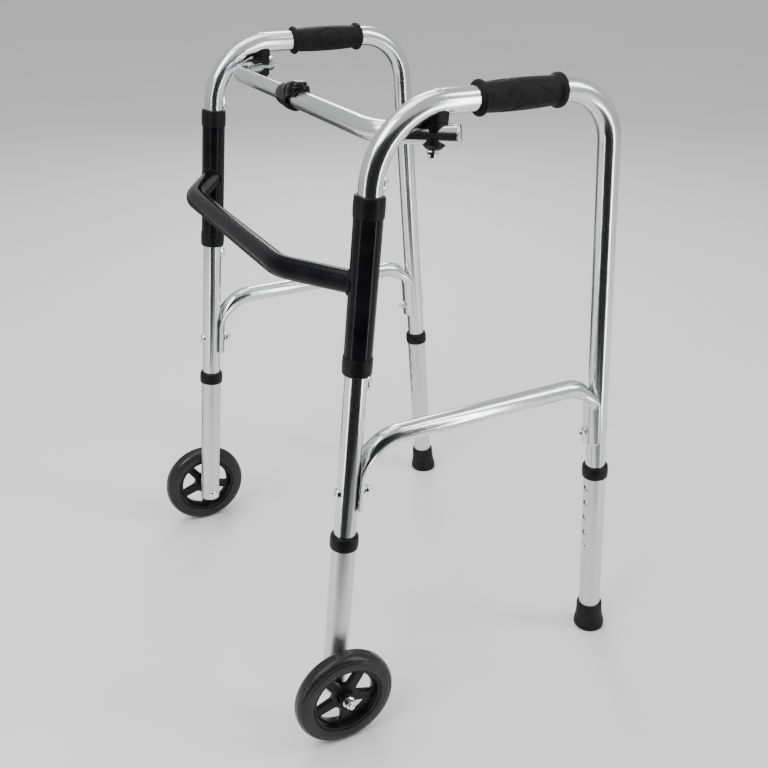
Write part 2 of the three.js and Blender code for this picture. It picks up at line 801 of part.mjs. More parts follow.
function barPlugGeometry(side, radius, boreRadius) {
  const spigot = boreRadius * Math.cos(Math.PI / BORE_SIDES) - GAP;
  const outline = [
    [0, -9],
    [spigot, -9],
    [spigot, GAP],
    [radius + 0.4, GAP],
    [radius + 0.4, 2],
    [radius - 1.6, 3.6],
    [0, 4.2],
  ];
  return turnedAt(outline, barEnd(side), barOutward(side));
}

// ---------- crossbar lock: housing, push button and return spring ----------

const LOCK_FROM_X = -33; // the barrel's ends
const LOCK_TO_X = 25;
const LOCK_RING_X = -9; // where the barrel steps up to the hood
const LOCK_R = 15;
const LOCK_HOOD_X = -0.5; // of the dome beside the button
const LOCK_BUTTON_X = 11;
const LOCK_BUTTON_R = 11.2;
const LOCK_BUTTON_HEIGHT = 6.6;
const LOCK_POCKET_R = 5.4; // the hollow under the button, round its spring
const LOCK_POCKET = 2.6;
const LOCK_FLOOR_Z = BAR_Z + 12.2; // the bottom of the button's well
const LOCK_COLLAR_R = 13.6;
const LOCK_TOP_Z = BAR_Z + 16;
const LOCK_REST = 2.4; // the button's clear travel above the well's floor

function lockHousingGeometry() {
  const onBar = (x) => new THREE.Vector3(x, BAR_Y, BAR_Z);
  const up = new THREE.Vector3(0, 0, 1);
  const barrel = turnedAt(
    [
      [0, LOCK_FROM_X],
      [LOCK_R - 3, LOCK_FROM_X],
      [LOCK_R - 1.8, LOCK_FROM_X + 2],
      [LOCK_R - 0.6, LOCK_RING_X - 2],
      [LOCK_R, LOCK_RING_X],
      [LOCK_R, LOCK_TO_X - 1.5],
      [LOCK_R - 1.5, LOCK_TO_X],
      [0, LOCK_TO_X],
    ],
    onBar(0),
    new THREE.Vector3(1, 0, 0),
  );
  const dome = [[0, 0], [14.2, 0], [14.2, 8], [12.8, 13.4], [8.6, 17], [0, 18.4]];
  const hood = turnedAt(dome, onBar(LOCK_HOOD_X), up);
  const onButton = (z) => new THREE.Vector3(LOCK_BUTTON_X, BAR_Y, z);
  const collar = rod(onButton(BAR_Z), onButton(LOCK_TOP_Z), LOCK_COLLAR_R, TUBE_SIDES);
  const well = rod(onButton(LOCK_FLOOR_Z), onButton(BAR_Z + 30), LOCK_BUTTON_R + 0.5, TUBE_SIDES);
  const outerBore = rod(onBar(BAR_JOINT_X - GAP), onBar(LOCK_TO_X + 1), BAR_OUTER_R + 0.5, TUBE_SIDES);
  const innerBore = rod(onBar(LOCK_FROM_X - 1), onBar(LOCK_TO_X), BAR_INNER_R + 0.6, TUBE_SIDES);
  return cut(joined(barrel, hood, collar), well, outerBore, innerBore);
}

function lockButtonGeometry() {
  const low = LOCK_FLOOR_Z + LOCK_REST;
  const outline = [
    [0, low + LOCK_POCKET],
    [LOCK_POCKET_R, low + LOCK_POCKET],
    [LOCK_POCKET_R, low],
    [LOCK_BUTTON_R, low],
    [LOCK_BUTTON_R, low + 2],
    [LOCK_BUTTON_R * 0.88, low + 4.8],
    [LOCK_BUTTON_R * 0.52, low + 6.3],
    [0, low + LOCK_BUTTON_HEIGHT],
  ];
  return turned(outline).translate(LOCK_BUTTON_X, BAR_Y, 0);
}

class Helix extends THREE.Curve {
  constructor(radius, height, turns) {
    super();
    Object.assign(this, { radius, height, turns });
  }
  getPoint(u) {
    const angle = 2 * Math.PI * this.turns * u;
    const { radius, height } = this;
    return new THREE.Vector3(radius * Math.cos(angle), radius * Math.sin(angle), height * u);
  }
}

function lockSpringGeometry() {
  const wire = 0.5;
  const height = LOCK_REST + LOCK_POCKET - 2 * (wire + GAP);
  const turns = 3;
  const shape = new THREE.Shape(ringPoints(wire, 5));
  const coil = new THREE.ExtrudeGeometry(shape, {
    steps: 8 * turns,
    extrudePath: new Helix(4, height, turns),
    bevelEnabled: false,
  });
  return coil.translate(LOCK_BUTTON_X, BAR_Y, LOCK_FLOOR_Z + wire + GAP);
}

// ---------- the walker ----------

function addLeg(sideName, end, legGroup, frame) {
  const name = end + "_" + sideName;
  const isFront = end === "front";
  piece("leg_extension_" + name, extensionGeometry(frame, isFront), satinAluminium, legGroup);
  piece("leg_collar_" + name, collarGeometry(frame.top), blackPlastic, legGroup);
  piece("leg_button_" + name, snapButton(frame.facing, frame.button), chrome, legGroup);
  piece("leg_button_spring_" + name, leafSpring(frame.facing, frame.button), springSteel, legGroup);
}

function addWheel(side, sideName, legGroup) {
  const axle = new THREE.Group();
  axle.position.z = AXLE_UP_LEG;
  legGroup.add(axle);
  const outward = new THREE.Quaternion().setFromUnitVectors(
    new THREE.Vector3(0, 0, 1),
    new THREE.Vector3(side, 0, 0),
  );
  const onAxle = (name, geometry, material) =>
    piece(name + "_" + sideName, geometry, material, axle).quaternion.copy(outward);
  onAxle("axle_bolt", axleBoltGeometry(), chrome);
  onAxle("axle_spacer", axleSpacerGeometry(), blackPlastic);
  onAxle("axle_nut", axleNutGeometry(), chrome);
}

function addSide(side, sideName, walker) {
  const plane = new THREE.Group();
  plane.position.x = side * FRAME_X;
  walker.add(plane);
  piece("side_frame_" + sideName, sideFrameGeometry(), polishedAluminium, plane);
  piece("side_brace_" + sideName, sideBraceGeometry(), chrome, plane);
  piece("grip_" + sideName, gripGeometry(), gripVinyl, plane);
  piece("rear_tip_" + sideName, rearTipGeometry(), tipRubber, plane);
  const frontBolt = braceBoltGeometry(frontLegY, FRONT_BRACE_BOLT_Z, FRONT_LEAN, 1);
  const rearBolt = braceBoltGeometry(rearLegY, REAR_BRACE_BOLT_Z, -REAR_LEAN, -1);
  piece("brace_bolt_front_" + sideName, frontBolt, chrome, plane);
  piece("brace_bolt_rear_" + sideName, rearBolt, chrome, plane);

  const frontLeg = new THREE.Group();
  frontLeg.position.y = frontLegY(0);
  frontLeg.rotation.x = -FRONT_LEAN;
  plane.add(frontLeg);
  addLeg(sideName, "front", frontLeg, FRONT_EXTENSION);
  addWheel(side, sideName, frontLeg);

  const rearLeg = new THREE.Group();
  rearLeg.position.y = rearLegY(0);
  rearLeg.rotation.x = REAR_LEAN;
  plane.add(rearLeg);
  addLeg(sideName, "rear", rearLeg, REAR_EXTENSION);

  const upLeg = (z) => z / Math.cos(FRONT_LEAN);
  const bush = (which, height) =>
    piece(`sleeve_bush_${which}_${sideName}`, bushGeometry(height), blackPlastic, frontLeg);
  const topBush = bush("upper", TOP_BUSH_HEIGHT);
  topBush.position.z = upLeg(SLEEVE_HIGH_Z);
  const lowBush = bush("lower", LOW_BUSH_HEIGHT);
  lowBush.position.z = upLeg(SLEEVE_LOW_Z);
  lowBush.rotation.x = Math.PI;

  const hub = piece("wheel_hub_" + sideName, hubGeometry(), blackPlastic, plane);
  const tyre = piece("wheel_tyre_" + sideName, tyreGeometry(), tyreRubber, plane);
  for (const part of [hub, tyre]) part.position.set(side * WHEEL_OUT, AXLE_Y, WHEEL_R);
}

function addCrossbar(side, sideName, walker) {
  const isOuter = side > 0;
  const radius = isOuter ? BAR_OUTER_R : BAR_INNER_R;
  const boreRadius = isOuter ? BAR_OUTER_BORE_R : BAR_INNER_BORE_R;
  const freeX = isOuter ? BAR_JOINT_X : BAR_JOINT_X + BAR_INSERTED;
  const barName = isOuter ? "crossbar_outer_tube" : "crossbar_inner_tube";
  piece(barName, barGeometry(side, freeX, radius, boreRadius), polishedAluminium, walker);
  const add = (name, geometry, material) => piece(name + "_" + sideName, geometry, material, walker);
  add("crossbar_plug", barPlugGeometry(side, radius, boreRadius), chrome);
  add("saddle_frame", frameSaddleGeometry(side), blackPlastic);
  add("saddle_bar", barSaddleGeometry(side, radius), blackPlastic);
  add("saddle_lower", lowerSaddleGeometry(side, radius), blackPlastic);
  add("pivot_bolt", pivotBoltGeometry(side), chrome);
  add("pivot_nut", pivotNutGeometry(side), chrome);
}

const walker = new THREE.Group();
piece("front_brace", frontBraceGeometry(), blackCoat, walker);
for (const [side, sideName] of [[1, "left"], [-1, "right"]]) {
  addSide(side, sideName, walker);
  addCrossbar(side, sideName, walker);
}
piece("lock_housing", lockHousingGeometry(), blackPlastic, walker);
piece("lock_button", lockButtonGeometry(), glossPlastic, walker);
piece("lock_spring", lockSpringGeometry(), springSteel, walker);

export default walker;
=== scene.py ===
"""Folding walking frame with two front wheels: the looks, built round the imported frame.

Lengths are in metres. The user faces -Y, left is +X and the floor is z = 0.
"""
import json
import math

import bmesh
import bpy
from mathutils import Matrix, Vector


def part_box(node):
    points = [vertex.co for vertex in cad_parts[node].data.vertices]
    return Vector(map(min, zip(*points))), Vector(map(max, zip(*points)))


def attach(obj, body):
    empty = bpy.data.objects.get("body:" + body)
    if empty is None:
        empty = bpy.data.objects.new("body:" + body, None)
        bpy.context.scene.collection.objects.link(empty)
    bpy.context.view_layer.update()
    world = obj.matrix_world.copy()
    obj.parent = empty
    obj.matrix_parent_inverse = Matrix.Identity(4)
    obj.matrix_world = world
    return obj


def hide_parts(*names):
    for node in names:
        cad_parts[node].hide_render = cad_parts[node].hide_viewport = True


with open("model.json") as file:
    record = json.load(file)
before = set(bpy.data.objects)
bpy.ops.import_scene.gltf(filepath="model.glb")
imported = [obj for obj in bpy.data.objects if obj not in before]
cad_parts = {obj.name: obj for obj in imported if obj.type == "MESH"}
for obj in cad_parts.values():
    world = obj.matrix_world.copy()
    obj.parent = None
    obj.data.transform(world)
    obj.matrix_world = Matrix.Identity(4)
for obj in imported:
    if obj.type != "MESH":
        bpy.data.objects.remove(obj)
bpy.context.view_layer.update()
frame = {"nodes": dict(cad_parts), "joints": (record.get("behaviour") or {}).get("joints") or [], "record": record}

SIDES = (("left", 1), ("right", -1))
JOINTS = {joint["name"]: joint for joint in frame["joints"]}
MOUNTS = {mount["name"]: mount for mount in frame["record"]["mounts"]}
BAR_NODES = {"left": "crossbar_outer_tube", "right": "crossbar_inner_tube"}


def joint_place(name):
    return Vector(JOINTS[name]["pos_m"])


def joint_axis(name):
    return Vector(JOINTS[name]["axis"]).normalized()


def middle(node):
    low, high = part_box(node)
    return (low + high) / 2


# ---------- measures ----------

# Places and directions of the left side, taken from the frame
FOLD = joint_place("left_fold")
AXLE = joint_place("wheel_left_spin")
PIVOT = joint_place("crossbar_left_pivot")
REAR_FOOT = Vector(MOUNTS["left_rear_foot"]["pos_m"])
FRONT_UP = joint_axis("left_fold")
REAR_UP = joint_axis("rear_leg_left_height")
GRIP_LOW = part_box("grip_left")[0]
FRAME_X = FOLD.x
WHEEL_R = AXLE.z
HANDLE_Z = middle("grip_left").z
FRONT_FOOT = Vector((FRAME_X, AXLE.y, WHEEL_R)) - FRONT_UP * (WHEEL_R / FRONT_UP.z)

# Side frames
TUBE_R = 0.0127
TUBE_WALL = 0.0013
FRONT_BEND_R = 0.084
REAR_BEND_R = 0.065
LEG_END_Z = 0.116

# Leg extensions: distances along the leg from the floor; "facing" is the holes' way along Y
EXTENSION_R = 0.0143
EXTENSION_BORE_R = 0.0131
LEGS = {
    "front": {
        "foot": FRONT_FOOT, "up": FRONT_UP, "facing": 1,
        "bottom": 0.0545, "top": 0.272, "button": 0.146,
    },
    "rear": {
        "foot": REAR_FOOT, "up": REAR_UP, "facing": -1,
        "bottom": 0.0066, "top": 0.266, "button": 0.142,
    },
}
DRILL_FROM, DRILL_TO = 0.004, 0.03
HOLE_COUNT = 5
HOLE_PITCH = 0.024
HOLE_R = 0.0043
BUTTON_R = 0.004
BUTTON_FROM, BUTTON_TO = 0.0085, 0.0168
COLLAR_R = 0.0168
COLLAR_HEIGHT = 0.017
COLLAR_ABOVE = 0.005

# Front brace and sleeves
BRACE_AHEAD = 0.010
BRACE_CORNER_X = 0.150
BRACE_BEND_R = 0.060
SLEEVE_R = 0.0155
SLEEVE_BORE_R = 0.0142
SLEEVE_LOW_Z = 0.497
SLEEVE_HIGH_Z = 0.646
BUSH_R = 0.0166
BUSH_BORE_R = 0.0129
TOP_BUSH_HEIGHT = 0.0225
LOW_BUSH_HEIGHT = 0.021
STOP_R = 0.0066
STOP_HALF = 0.0105
STOP_CLEAR = 0.0012

# Side braces
SIDE_BRACE_Z = 0.391
SIDE_BRACE_R = 0.011
SIDE_BRACE_FLAT = 0.0032
SIDE_BRACE_WIDER = 1.38
SIDE_BRACE_CURL_R = 0.014
SIDE_BRACE_END_Z = 0.306
SIDE_BRACE_BENDS = (0.048, 0.035)
SIDE_BRACE_FLAT_INTO_BEND = 0.008
SIDE_BRACE_ROUND_BELOW_TOP = 0.004
SIDE_BRACE_END_CORNER = 0.0045
BRACE_BOLT_Z = {"front": 0.331, "rear": 0.326}
BRACE_OFFSET = TUBE_R + 0.0003 + SIDE_BRACE_FLAT

# Crossbar
BAR_Z = PIVOT.z
BAR_Y = middle("lock_button").y
BAR_CORNER_X = 0.206
BAR_BEND_R = 0.050
BAR_PAST_PIVOT = 0.023
BAR_R = {"left": 0.0111, "right": 0.0095}
BAR_WALL = 0.0012
BAR_FREE_X = {"left": -0.004, "right": 0.084}

# Saddles and pivot bolts
SADDLE_R = 0.0113
SADDLE_SPLIT_Z = 0.7342
SADDLE_LOW_Z = 0.7065
SADDLE_SOFTNESS = 0.0007
PIVOT_BOLT_R = 0.003
PIVOT_HEAD_R = 0.0052

# Wheels, axles and rear tips
AXLE_R = 0.004
WHEEL_HALF = 0.012
RIM_R = 0.045
HUB_HALF = 0.0105
BOSS_R = 0.0102
BOSS_HALF = 0.012
SPOKES = 5
WINDOW_INNER_R, WINDOW_OUTER_R = 0.0172, 0.0372
WINDOW_HALF_ANGLE = 0.47
WINDOW_ROUNDING = 0.0016
TIP_R = 0.021
TIP_HEIGHT = 0.041


# ---------- places ----------

ACROSS = Vector((1, 0, 0))
UP = Vector((0, 0, 1))


def on_side(side, point):
    """The place on this side of a point that is given for the left."""
    return Vector((side * point[0], point[1], point[2]))


def front_leg(z, side=1):
    """A front leg's axis at a height, on the left unless the other side is asked for."""
    return on_side(side, FRONT_FOOT + FRONT_UP * (z / FRONT_UP.z))


def rear_leg(z):
    """The left rear leg's axis at a height."""
    return REAR_FOOT + REAR_UP * (z / REAR_UP.z)


def along_leg(end, side, distance):
    """A leg's axis at a distance along it from the floor."""
    return on_side(side, LEGS[end]["foot"] + LEGS[end]["up"] * distance)


def between_legs(end):
    """The way that is square to a leg and leads to the other leg of its side."""
    leg = LEGS[end]
    return Vector((0, leg["facing"] * leg["up"].z, -leg["facing"] * leg["up"].y))


# ---------- outlines and routes ----------

def outline(*corners, closed=False, steps=5):
    """Corners (radius, height) or (radius, height, ease): an eased corner is rounded over that length."""
    points = []
    for i, corner in enumerate(corners):
        here = Vector(corner[:2])
        if len(corner) < 3 or (not closed and i in (0, len(corners) - 1)):
            points.append(here)
            continue
        before = Vector(corners[i - 1][:2]) - here
        after = Vector(corners[(i + 1) % len(corners)][:2]) - here
        ease = min(corner[2], before.length * 0.49, after.length * 0.49)
        start = here + before.normalized() * ease
        end = here + after.normalized() * ease
        for k in range(steps + 1):
            t = k / steps
            points.append(start * (1 - t) ** 2 + here * (2 * t * (1 - t)) + end * t ** 2)
    return points


def route(*corners, steps=24, stretch=0.02):
    """Points with tangents along straight stretches joined by arcs. A corner is (point, bend radius)."""
    stations = []
    for i, (here, bend) in enumerate(corners):
        before = (here - corners[i - 1][0]).normalized() if i else None
        after = (corners[i + 1][0] - here).normalized() if i < len(corners) - 1 else None
        if before is None or after is None:
            stations.append((here, before or after))
            continue
        turn = before.angle(after)
        start = here - before * (bend * math.tan(turn / 2))
        inward = (after - before * math.cos(turn)).normalized()
        for k in range(steps + 1):
            angle = turn * k / steps
            point = start + before * (bend * math.sin(angle)) + inward * (bend * (1 - math.cos(angle)))
            stations.append((point, before * math.cos(angle) + inward * math.sin(angle)))
    return filled_in(stations, stretch)


def filled_in(stations, stretch):
    """The same stations with more between those that lie far apart on a straight stretch."""
    result = [stations[0]]
    for (low, _), (high, tangent) in zip(stations, stations[1:]):
        parts = max(1, round((high - low).length / stretch))
        for k in range(1, parts):
            result.append((low.lerp(high, k / parts), tangent))
        result.append((high, tangent))
    return result


# ---------- meshes ----------

EDGE_ANGLE = 38
TUBE_SIDES = 48


def skin(name, rings, looped=False, sharp=EDGE_ANGLE):
    """A surface through rings of points, with caps, or with the last ring joined to the first."""
    shape = bmesh.new()
    surface_map = shape.loops.layers.uv.new("surface")
    count = len(rings[0])
    rows = [[shape.verts.new(point) for point in ring] for ring in rings]
    along = [0.0]
    for low, high in zip(rings, rings[1:] + rings[:1]):
        along.append(along[-1] + (high[0] - low[0]).length)
    step = max((ring[1] - ring[0]).length for ring in rings)
    for j in range(len(rows) if looped else len(rows) - 1):
        low, high = rows[j], rows[(j + 1) % len(rows)]
        for k in range(count):
            after = (k + 1) % count
            face = shape.faces.new((low[k], low[after], high[after], high[k]))
            places = ((k, j), (k + 1, j), (k + 1, j + 1), (k, j + 1))
            for corner, (around, row) in zip(face.loops, places):
                corner[surface_map].uv = (around * step, along[row])
    if not looped:
        shape.faces.new(rows[0])
        shape.faces.new(rows[-1])
    bmesh.ops.remove_doubles(shape, verts=shape.verts, dist=1e-6)
    bmesh.ops.dissolve_degenerate(shape, edges=shape.edges, dist=1e-7)
    return to_object(name, shape, sharp)


def to_object(name, shape, sharp=EDGE_ANGLE):
    bmesh.ops.recalc_face_normals(shape, faces=shape.faces)
    mesh = bpy.data.meshes.new(name)
    shape.to_mesh(mesh)
    shape.free()
    piece = bpy.data.objects.new(name, mesh)
    bpy.context.scene.collection.objects.link(piece)
    shade(piece, sharp)
    return piece


def shade(piece, sharp=EDGE_ANGLE):
    """Smooth shading that stays crisp at edges sharper than the given angle in degrees."""
    piece.data.shade_smooth()
    piece.data.set_sharp_from_angle(angle=math.radians(sharp))


def circle(centre, across, normal, radius, sides):
    turns = (2 * math.pi * k / sides for k in range(sides))
    return [centre + across * (radius * math.cos(t)) + normal * (radius * math.sin(t)) for t in turns]


def wall(stations, radius, edge):
    """Ring places up a tube's outside with rounded ends, or with a negative edge up its bore."""
    (start, start_way), (end, end_way) = stations[0], stations[-1]
    turns = (0, math.pi / 6, math.pi / 3, math.pi / 2)
    rounding = [(abs(edge) * (1 - math.sin(turn)), radius - edge + edge * math.cos(turn)) for turn in turns]
    loops = [(start + start_way * back, start_way, size) for back, size in reversed(rounding)]
    loops += [(point, way, radius) for point, way in stations[1:-1]]
    return loops + [(end - end_way * back, end_way, size) for back, size in rounding]


def swept(name, stations, normal, radius, bore=0.0, rim=0.0005):
    """A round tube along a flat route. "normal" is square to the route's plane. A bore makes it hollow."""
    loops = wall(stations, radius, rim)
    if bore:
        loops += reversed(wall(stations, bore, -rim))
    rings = [circle(point, normal.cross(way).normalized(), normal, size, TUBE_SIDES)
             for point, way, size in loops]
    return skin(name, rings, looped=bool(bore))


def turned(name, corners, base, axis, sides=64, closed=False, sharp=EDGE_ANGLE, steps=5):
    """A piece turned about an axis through "base". The corners of its outline go up its outside."""
    points = outline(*corners, closed=closed, steps=steps)
    up = Vector(axis).normalized()
    across = up.orthogonal().normalized()
    beside = up.cross(across)
    rings = [circle(Vector(base) + up * height, across, beside, radius, sides) for radius, height in points]
    return skin(name, rings, looped=closed, sharp=sharp)


def rod(start, end, radius, sides=40):
    length = (end - start).length
    corners = ((0, 0), (radius, 0), (radius, length), (0, length))
    return turned("cutter", corners, start, end - start, sides)


def block(low, high):
    """A plain box between two corners, for cutting."""
    shape = bmesh.new()
    bmesh.ops.create_cube(shape, size=1)
    move = Matrix.Translation((low + high) / 2) @ Matrix.Diagonal((*(high - low), 1))
    bmesh.ops.transform(shape, matrix=move, verts=shape.verts)
    return to_object("cutter", shape)


def apply_modifiers(piece):
    graph = bpy.context.evaluated_depsgraph_get()
    mesh = bpy.data.meshes.new_from_object(piece.evaluated_get(graph))
    old = piece.data
    piece.modifiers.clear()
    piece.data = mesh
    bpy.data.meshes.remove(old)
    mesh.name = piece.name


def combine(piece, others, how):
    for other in others:
        step = piece.modifiers.new("combine", "BOOLEAN")
        step.operation = how
        step.solver = "EXACT"
        step.object = other
        apply_modifiers(piece)
        bpy.data.objects.remove(other)
    shade(piece)
    return piece


def cut(piece, *others):
    return combine(piece, others, "DIFFERENCE")


def joined(piece, *others):
    return combine(piece, others, "UNION")


def common(piece, *others):
    return combine(piece, others, "INTERSECT")


def soften(piece, width, angle=EDGE_ANGLE, segments=3):
    """Rounds every edge sharper than the angle in degrees."""
    step = piece.modifiers.new("soften", "BEVEL")
    step.width = width
    step.segments = segments
    step.limit_method = "ANGLE"
    step.angle_limit = math.radians(angle)
    step.use_clamp_overlap = True
    apply_modifiers(piece)
    shade(piece, 50)
    return piece


# ---------- materials ----------

class Finish:
    """One procedural material and the few kinds of node that it is made of."""

    def __init__(self, name, **constants):
        self.material = bpy.data.materials.new(name)
        self.material.use_nodes = True
        tree = self.material.node_tree
        self.add = tree.nodes.new
        self.link = tree.links.new
        self.inputs = tree.nodes["Principled BSDF"].inputs
        for socket, value in constants.items():
            self.inputs[socket.replace("_", " ").title().replace("Ior", "IOR")].default_value = value
        coordinates = self.add("ShaderNodeTexCoord")
        self.places = {"object": coordinates.outputs["Object"], "surface": coordinates.outputs["UV"]}

    def pattern(self, scale, detail=3.0, on="object", stretch=(1, 1, 1), kind="noise"):
        """A noise or cell pattern with about "scale" features in a metre."""
        mapping = self.add("ShaderNodeMapping")
        mapping.inputs["Scale"].default_value = stretch
        self.link(self.places[on], mapping.inputs["Vector"])
        if kind == "cells":
            node = self.add("ShaderNodeTexVoronoi")
            node.feature = "DISTANCE_TO_EDGE"
            output = "Distance"
        else:
            node = self.add("ShaderNodeTexNoise")
            node.inputs["Detail"].default_value = detail
            output = "Fac"
        node.inputs["Scale"].default_value = scale
        self.link(mapping.outputs["Vector"], node.inputs["Vector"])
        return node.outputs[output]

    def tones(self, pattern, dark, light):
        """The base colour runs from dark to light with the pattern."""
        ramp = self.add("ShaderNodeValToRGB")
        for stop, position, colour in zip(ramp.color_ramp.elements, (0.35, 0.65), (dark, light)):
            stop.position = position
            stop.color = (*colour, 1)
        self.link(pattern, ramp.inputs["Fac"])
        self.link(ramp.outputs["Color"], self.inputs["Base Color"])

    def roughness(self, pattern, low, high):
        """The roughness runs from low to high with the pattern."""
        spread = self.add("ShaderNodeMapRange")
        for socket, value in (("From Min", 0.3), ("From Max", 0.7), ("To Min", low), ("To Max", high)):
            spread.inputs[socket].default_value = value
        self.link(pattern, spread.inputs["Value"])
        self.link(spread.outputs["Result"], self.inputs["Roughness"])

    def bump(self, *layers):
        """Layers are (pattern, height in metres), each added to the ones before."""
        normal = None
        for pattern, height in layers:
            node = self.add("ShaderNodeBump")
            node.inputs["Distance"].default_value = height
            self.link(pattern, node.inputs["Height"])
            if normal:
                self.link(normal, node.inputs["Normal"])
            normal = node.outputs["Normal"]
        self.link(normal, self.inputs["Normal"])


def noise_finish(name, tone, rough, *bumps, **constants):
    """A finish of plain noise. Each part starts with its noise's features in a metre and detail."""
    finish = Finish(name, **constants)
    finish.tones(finish.pattern(*tone[:2]), *tone[2:])
    finish.roughness(finish.pattern(*rough[:2]), *rough[2:])
    finish.bump(*((finish.pattern(scale, detail), height) for scale, detail, height in bumps))
    return finish.material


def polished_aluminium():
    finish = Finish("polished_aluminium", metallic=1.0)
    drawn = finish.pattern(1, 5, on="surface", stretch=(1600, 9, 1))
    finish.tones(finish.pattern(9, 4), (0.66, 0.67, 0.68), (0.76, 0.765, 0.77))
    finish.roughness(drawn, 0.14, 0.24)
    finish.bump((drawn, 0.000004), (finish.pattern(45, 2), 0.00002))
    return finish.material


def bright_aluminium():
    finish = Finish("bright_aluminium", metallic=1.0)
    drawn = finish.pattern(1, 4, on="surface", stretch=(1400, 12, 1))
    finish.tones(finish.pattern(14, 4), (0.68, 0.69, 0.70), (0.78, 0.785, 0.79))
    finish.roughness(drawn, 0.12, 0.2)
    finish.bump((drawn, 0.000003), (finish.pattern(60, 2), 0.00002))
    return finish.material


def satin_aluminium():
    finish = Finish("satin_aluminium", metallic=1.0)
    brushed = finish.pattern(1, 6, on="surface", stretch=(2400, 25, 1))
    finish.tones(brushed, (0.60, 0.605, 0.61), (0.74, 0.745, 0.75))
    finish.roughness(finish.pattern(20, 4), 0.33, 0.45)
    finish.bump((brushed, 0.00001))
    return finish.material


def chrome():
    tone = (90, 4, (0.80, 0.81, 0.82), (0.90, 0.91, 0.92))
    return noise_finish("chrome", tone, (240, 4, 0.06, 0.14), (300, 3, 0.00001), metallic=1.0)


def black_coat():
    tone = (35, 4, (0.003, 0.003, 0.004), (0.007, 0.007, 0.008))
    return noise_finish("black_coat", tone, (160, 3, 0.12, 0.2), (420, 2, 0.00006), (1500, 2, 0.00001),
                        specular_ior_level=0.11)


def black_plastic():
    tone = (70, 5, (0.003, 0.003, 0.0032), (0.007, 0.007, 0.0075))
    return noise_finish("black_plastic", tone, (300, 4, 0.36, 0.5), (1800, 3, 0.00003), (120, 2, 0.00003),
                        specular_ior_level=0.16)


def gloss_plastic():
    tone = (90, 4, (0.003, 0.003, 0.0035), (0.007, 0.007, 0.008))
    return noise_finish("gloss_plastic", tone, (260, 3, 0.1, 0.2), (240, 2, 0.00001),
                        specular_ior_level=0.14)


def hub_plastic():
    tone = (60, 5, (0.004, 0.004, 0.0045), (0.010, 0.010, 0.011))
    return noise_finish("hub_plastic", tone, (220, 4, 0.24, 0.36), (1300, 3, 0.00002), (90, 2, 0.00004),
                        specular_ior_level=0.18)


def grip_vinyl():
    finish = Finish("grip_vinyl", specular_ior_level=0.15)
    grain = finish.pattern(900, kind="cells")
    finish.tones(finish.pattern(120, 5), (0.0035, 0.0035, 0.004), (0.009, 0.0085, 0.0095))
    finish.roughness(finish.pattern(420, 4), 0.52, 0.68)
    finish.bump((grain, 0.00008), (finish.pattern(2600, 3), 0.00003))
    return finish.material


def tyre_rubber():
    tone = (25, 3, (0.013, 0.0125, 0.012), (0.022, 0.0215, 0.021))
    return noise_finish("tyre_rubber", tone, (60, 3, 0.2, 0.3), (1400, 3, 0.00001), (45, 2, 0.00006),
                        transmission_weight=0.08, ior=1.45, specular_ior_level=0.3)


def tip_rubber():
    tone = (90, 5, (0.006, 0.006, 0.006), (0.014, 0.014, 0.014))
    return noise_finish("tip_rubber", tone, (300, 4, 0.5, 0.66), (1500, 4, 0.00006), (100, 2, 0.0001),
                        specular_ior_level=0.15)


def spring_steel():
    tone = (200, 4, (0.45, 0.45, 0.46), (0.62, 0.62, 0.64))
    return noise_finish("spring_steel", tone, (700, 4, 0.24, 0.4), (900, 3, 0.00002), metallic=1.0)


def floor_finish():
    tone = (0.8, 4, (0.79, 0.79, 0.785), (0.82, 0.82, 0.815))
    return noise_finish("floor_finish", tone, (3, 4, 0.5, 0.62), (240, 3, 0.00008), specular_ior_level=0.0)


MATERIALS = {
    make.__name__: make()
    for make in (
        polished_aluminium, bright_aluminium, satin_aluminium, chrome, black_coat, black_plastic,
        gloss_plastic, hub_plastic, grip_vinyl, tyre_rubber, tip_rubber, spring_steel,
    )
}


def fit(piece, body, slot, *nodes):
    """Gives a piece its finish, its body and the CAD nodes that it stands for."""
    piece.data.materials.clear()
    piece.data.materials.append(MATERIALS[slot])
    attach(piece, body)
    if nodes:
        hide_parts(*nodes)
    return piece


# ---------- camera, light and floor ----------

CAMERA_AT = Vector((1.095, -0.5463, 0.935))
CAMERA_AZIMUTH = math.radians(62.823)
CAMERA_PITCH = math.radians(26.519)
CAMERA_LENS = 46.1
LIGHT_AIM = Vector((0, 0, 0.4))
LIGHT_DISTANCE = 2.6
WORLD_COLOUR = (0.80, 0.80, 0.81)
WORLD_STRENGTH = 0.85
FLOOR_R = 30.0


def direction(azimuth, elevation):
    """From the object towards a place: azimuth 0 is -Y and 90 is +X."""
    flat = math.cos(elevation)
    return Vector((math.sin(azimuth) * flat, -math.cos(azimuth) * flat, math.sin(elevation)))


def add_looking(name, data, place, back):
    """A camera or a light at a place, which looks against the direction "back"."""
    looking = bpy.data.objects.new(name, data)
    looking.location = place
    looking.rotation_mode = "QUATERNION"
    looking.rotation_quaternion = (-back).to_track_quat("-Z", "Y")
    bpy.context.scene.collection.objects.link(looking)
    return looking


def add_camera():
    """The photo's camera."""
    data = bpy.data.cameras.new("camera")
    data.lens = CAMERA_LENS
    data.sensor_width = 36
    back = direction(CAMERA_AZIMUTH, CAMERA_PITCH)
    bpy.context.scene.camera = add_looking("camera", data, CAMERA_AT, back)


def softbox(name, azimuth, elevation, size, watts):
    """A large soft area light that faces the object and isn't seen itself."""
    data = bpy.data.lights.new(name, "AREA")
    data.shape = "RECTANGLE"
    data.size, data.size_y = size
    data.energy = watts
    back = direction(math.radians(azimuth), math.radians(elevation))
    add_looking(name, data, LIGHT_AIM + back * LIGHT_DISTANCE, back).visible_camera = False


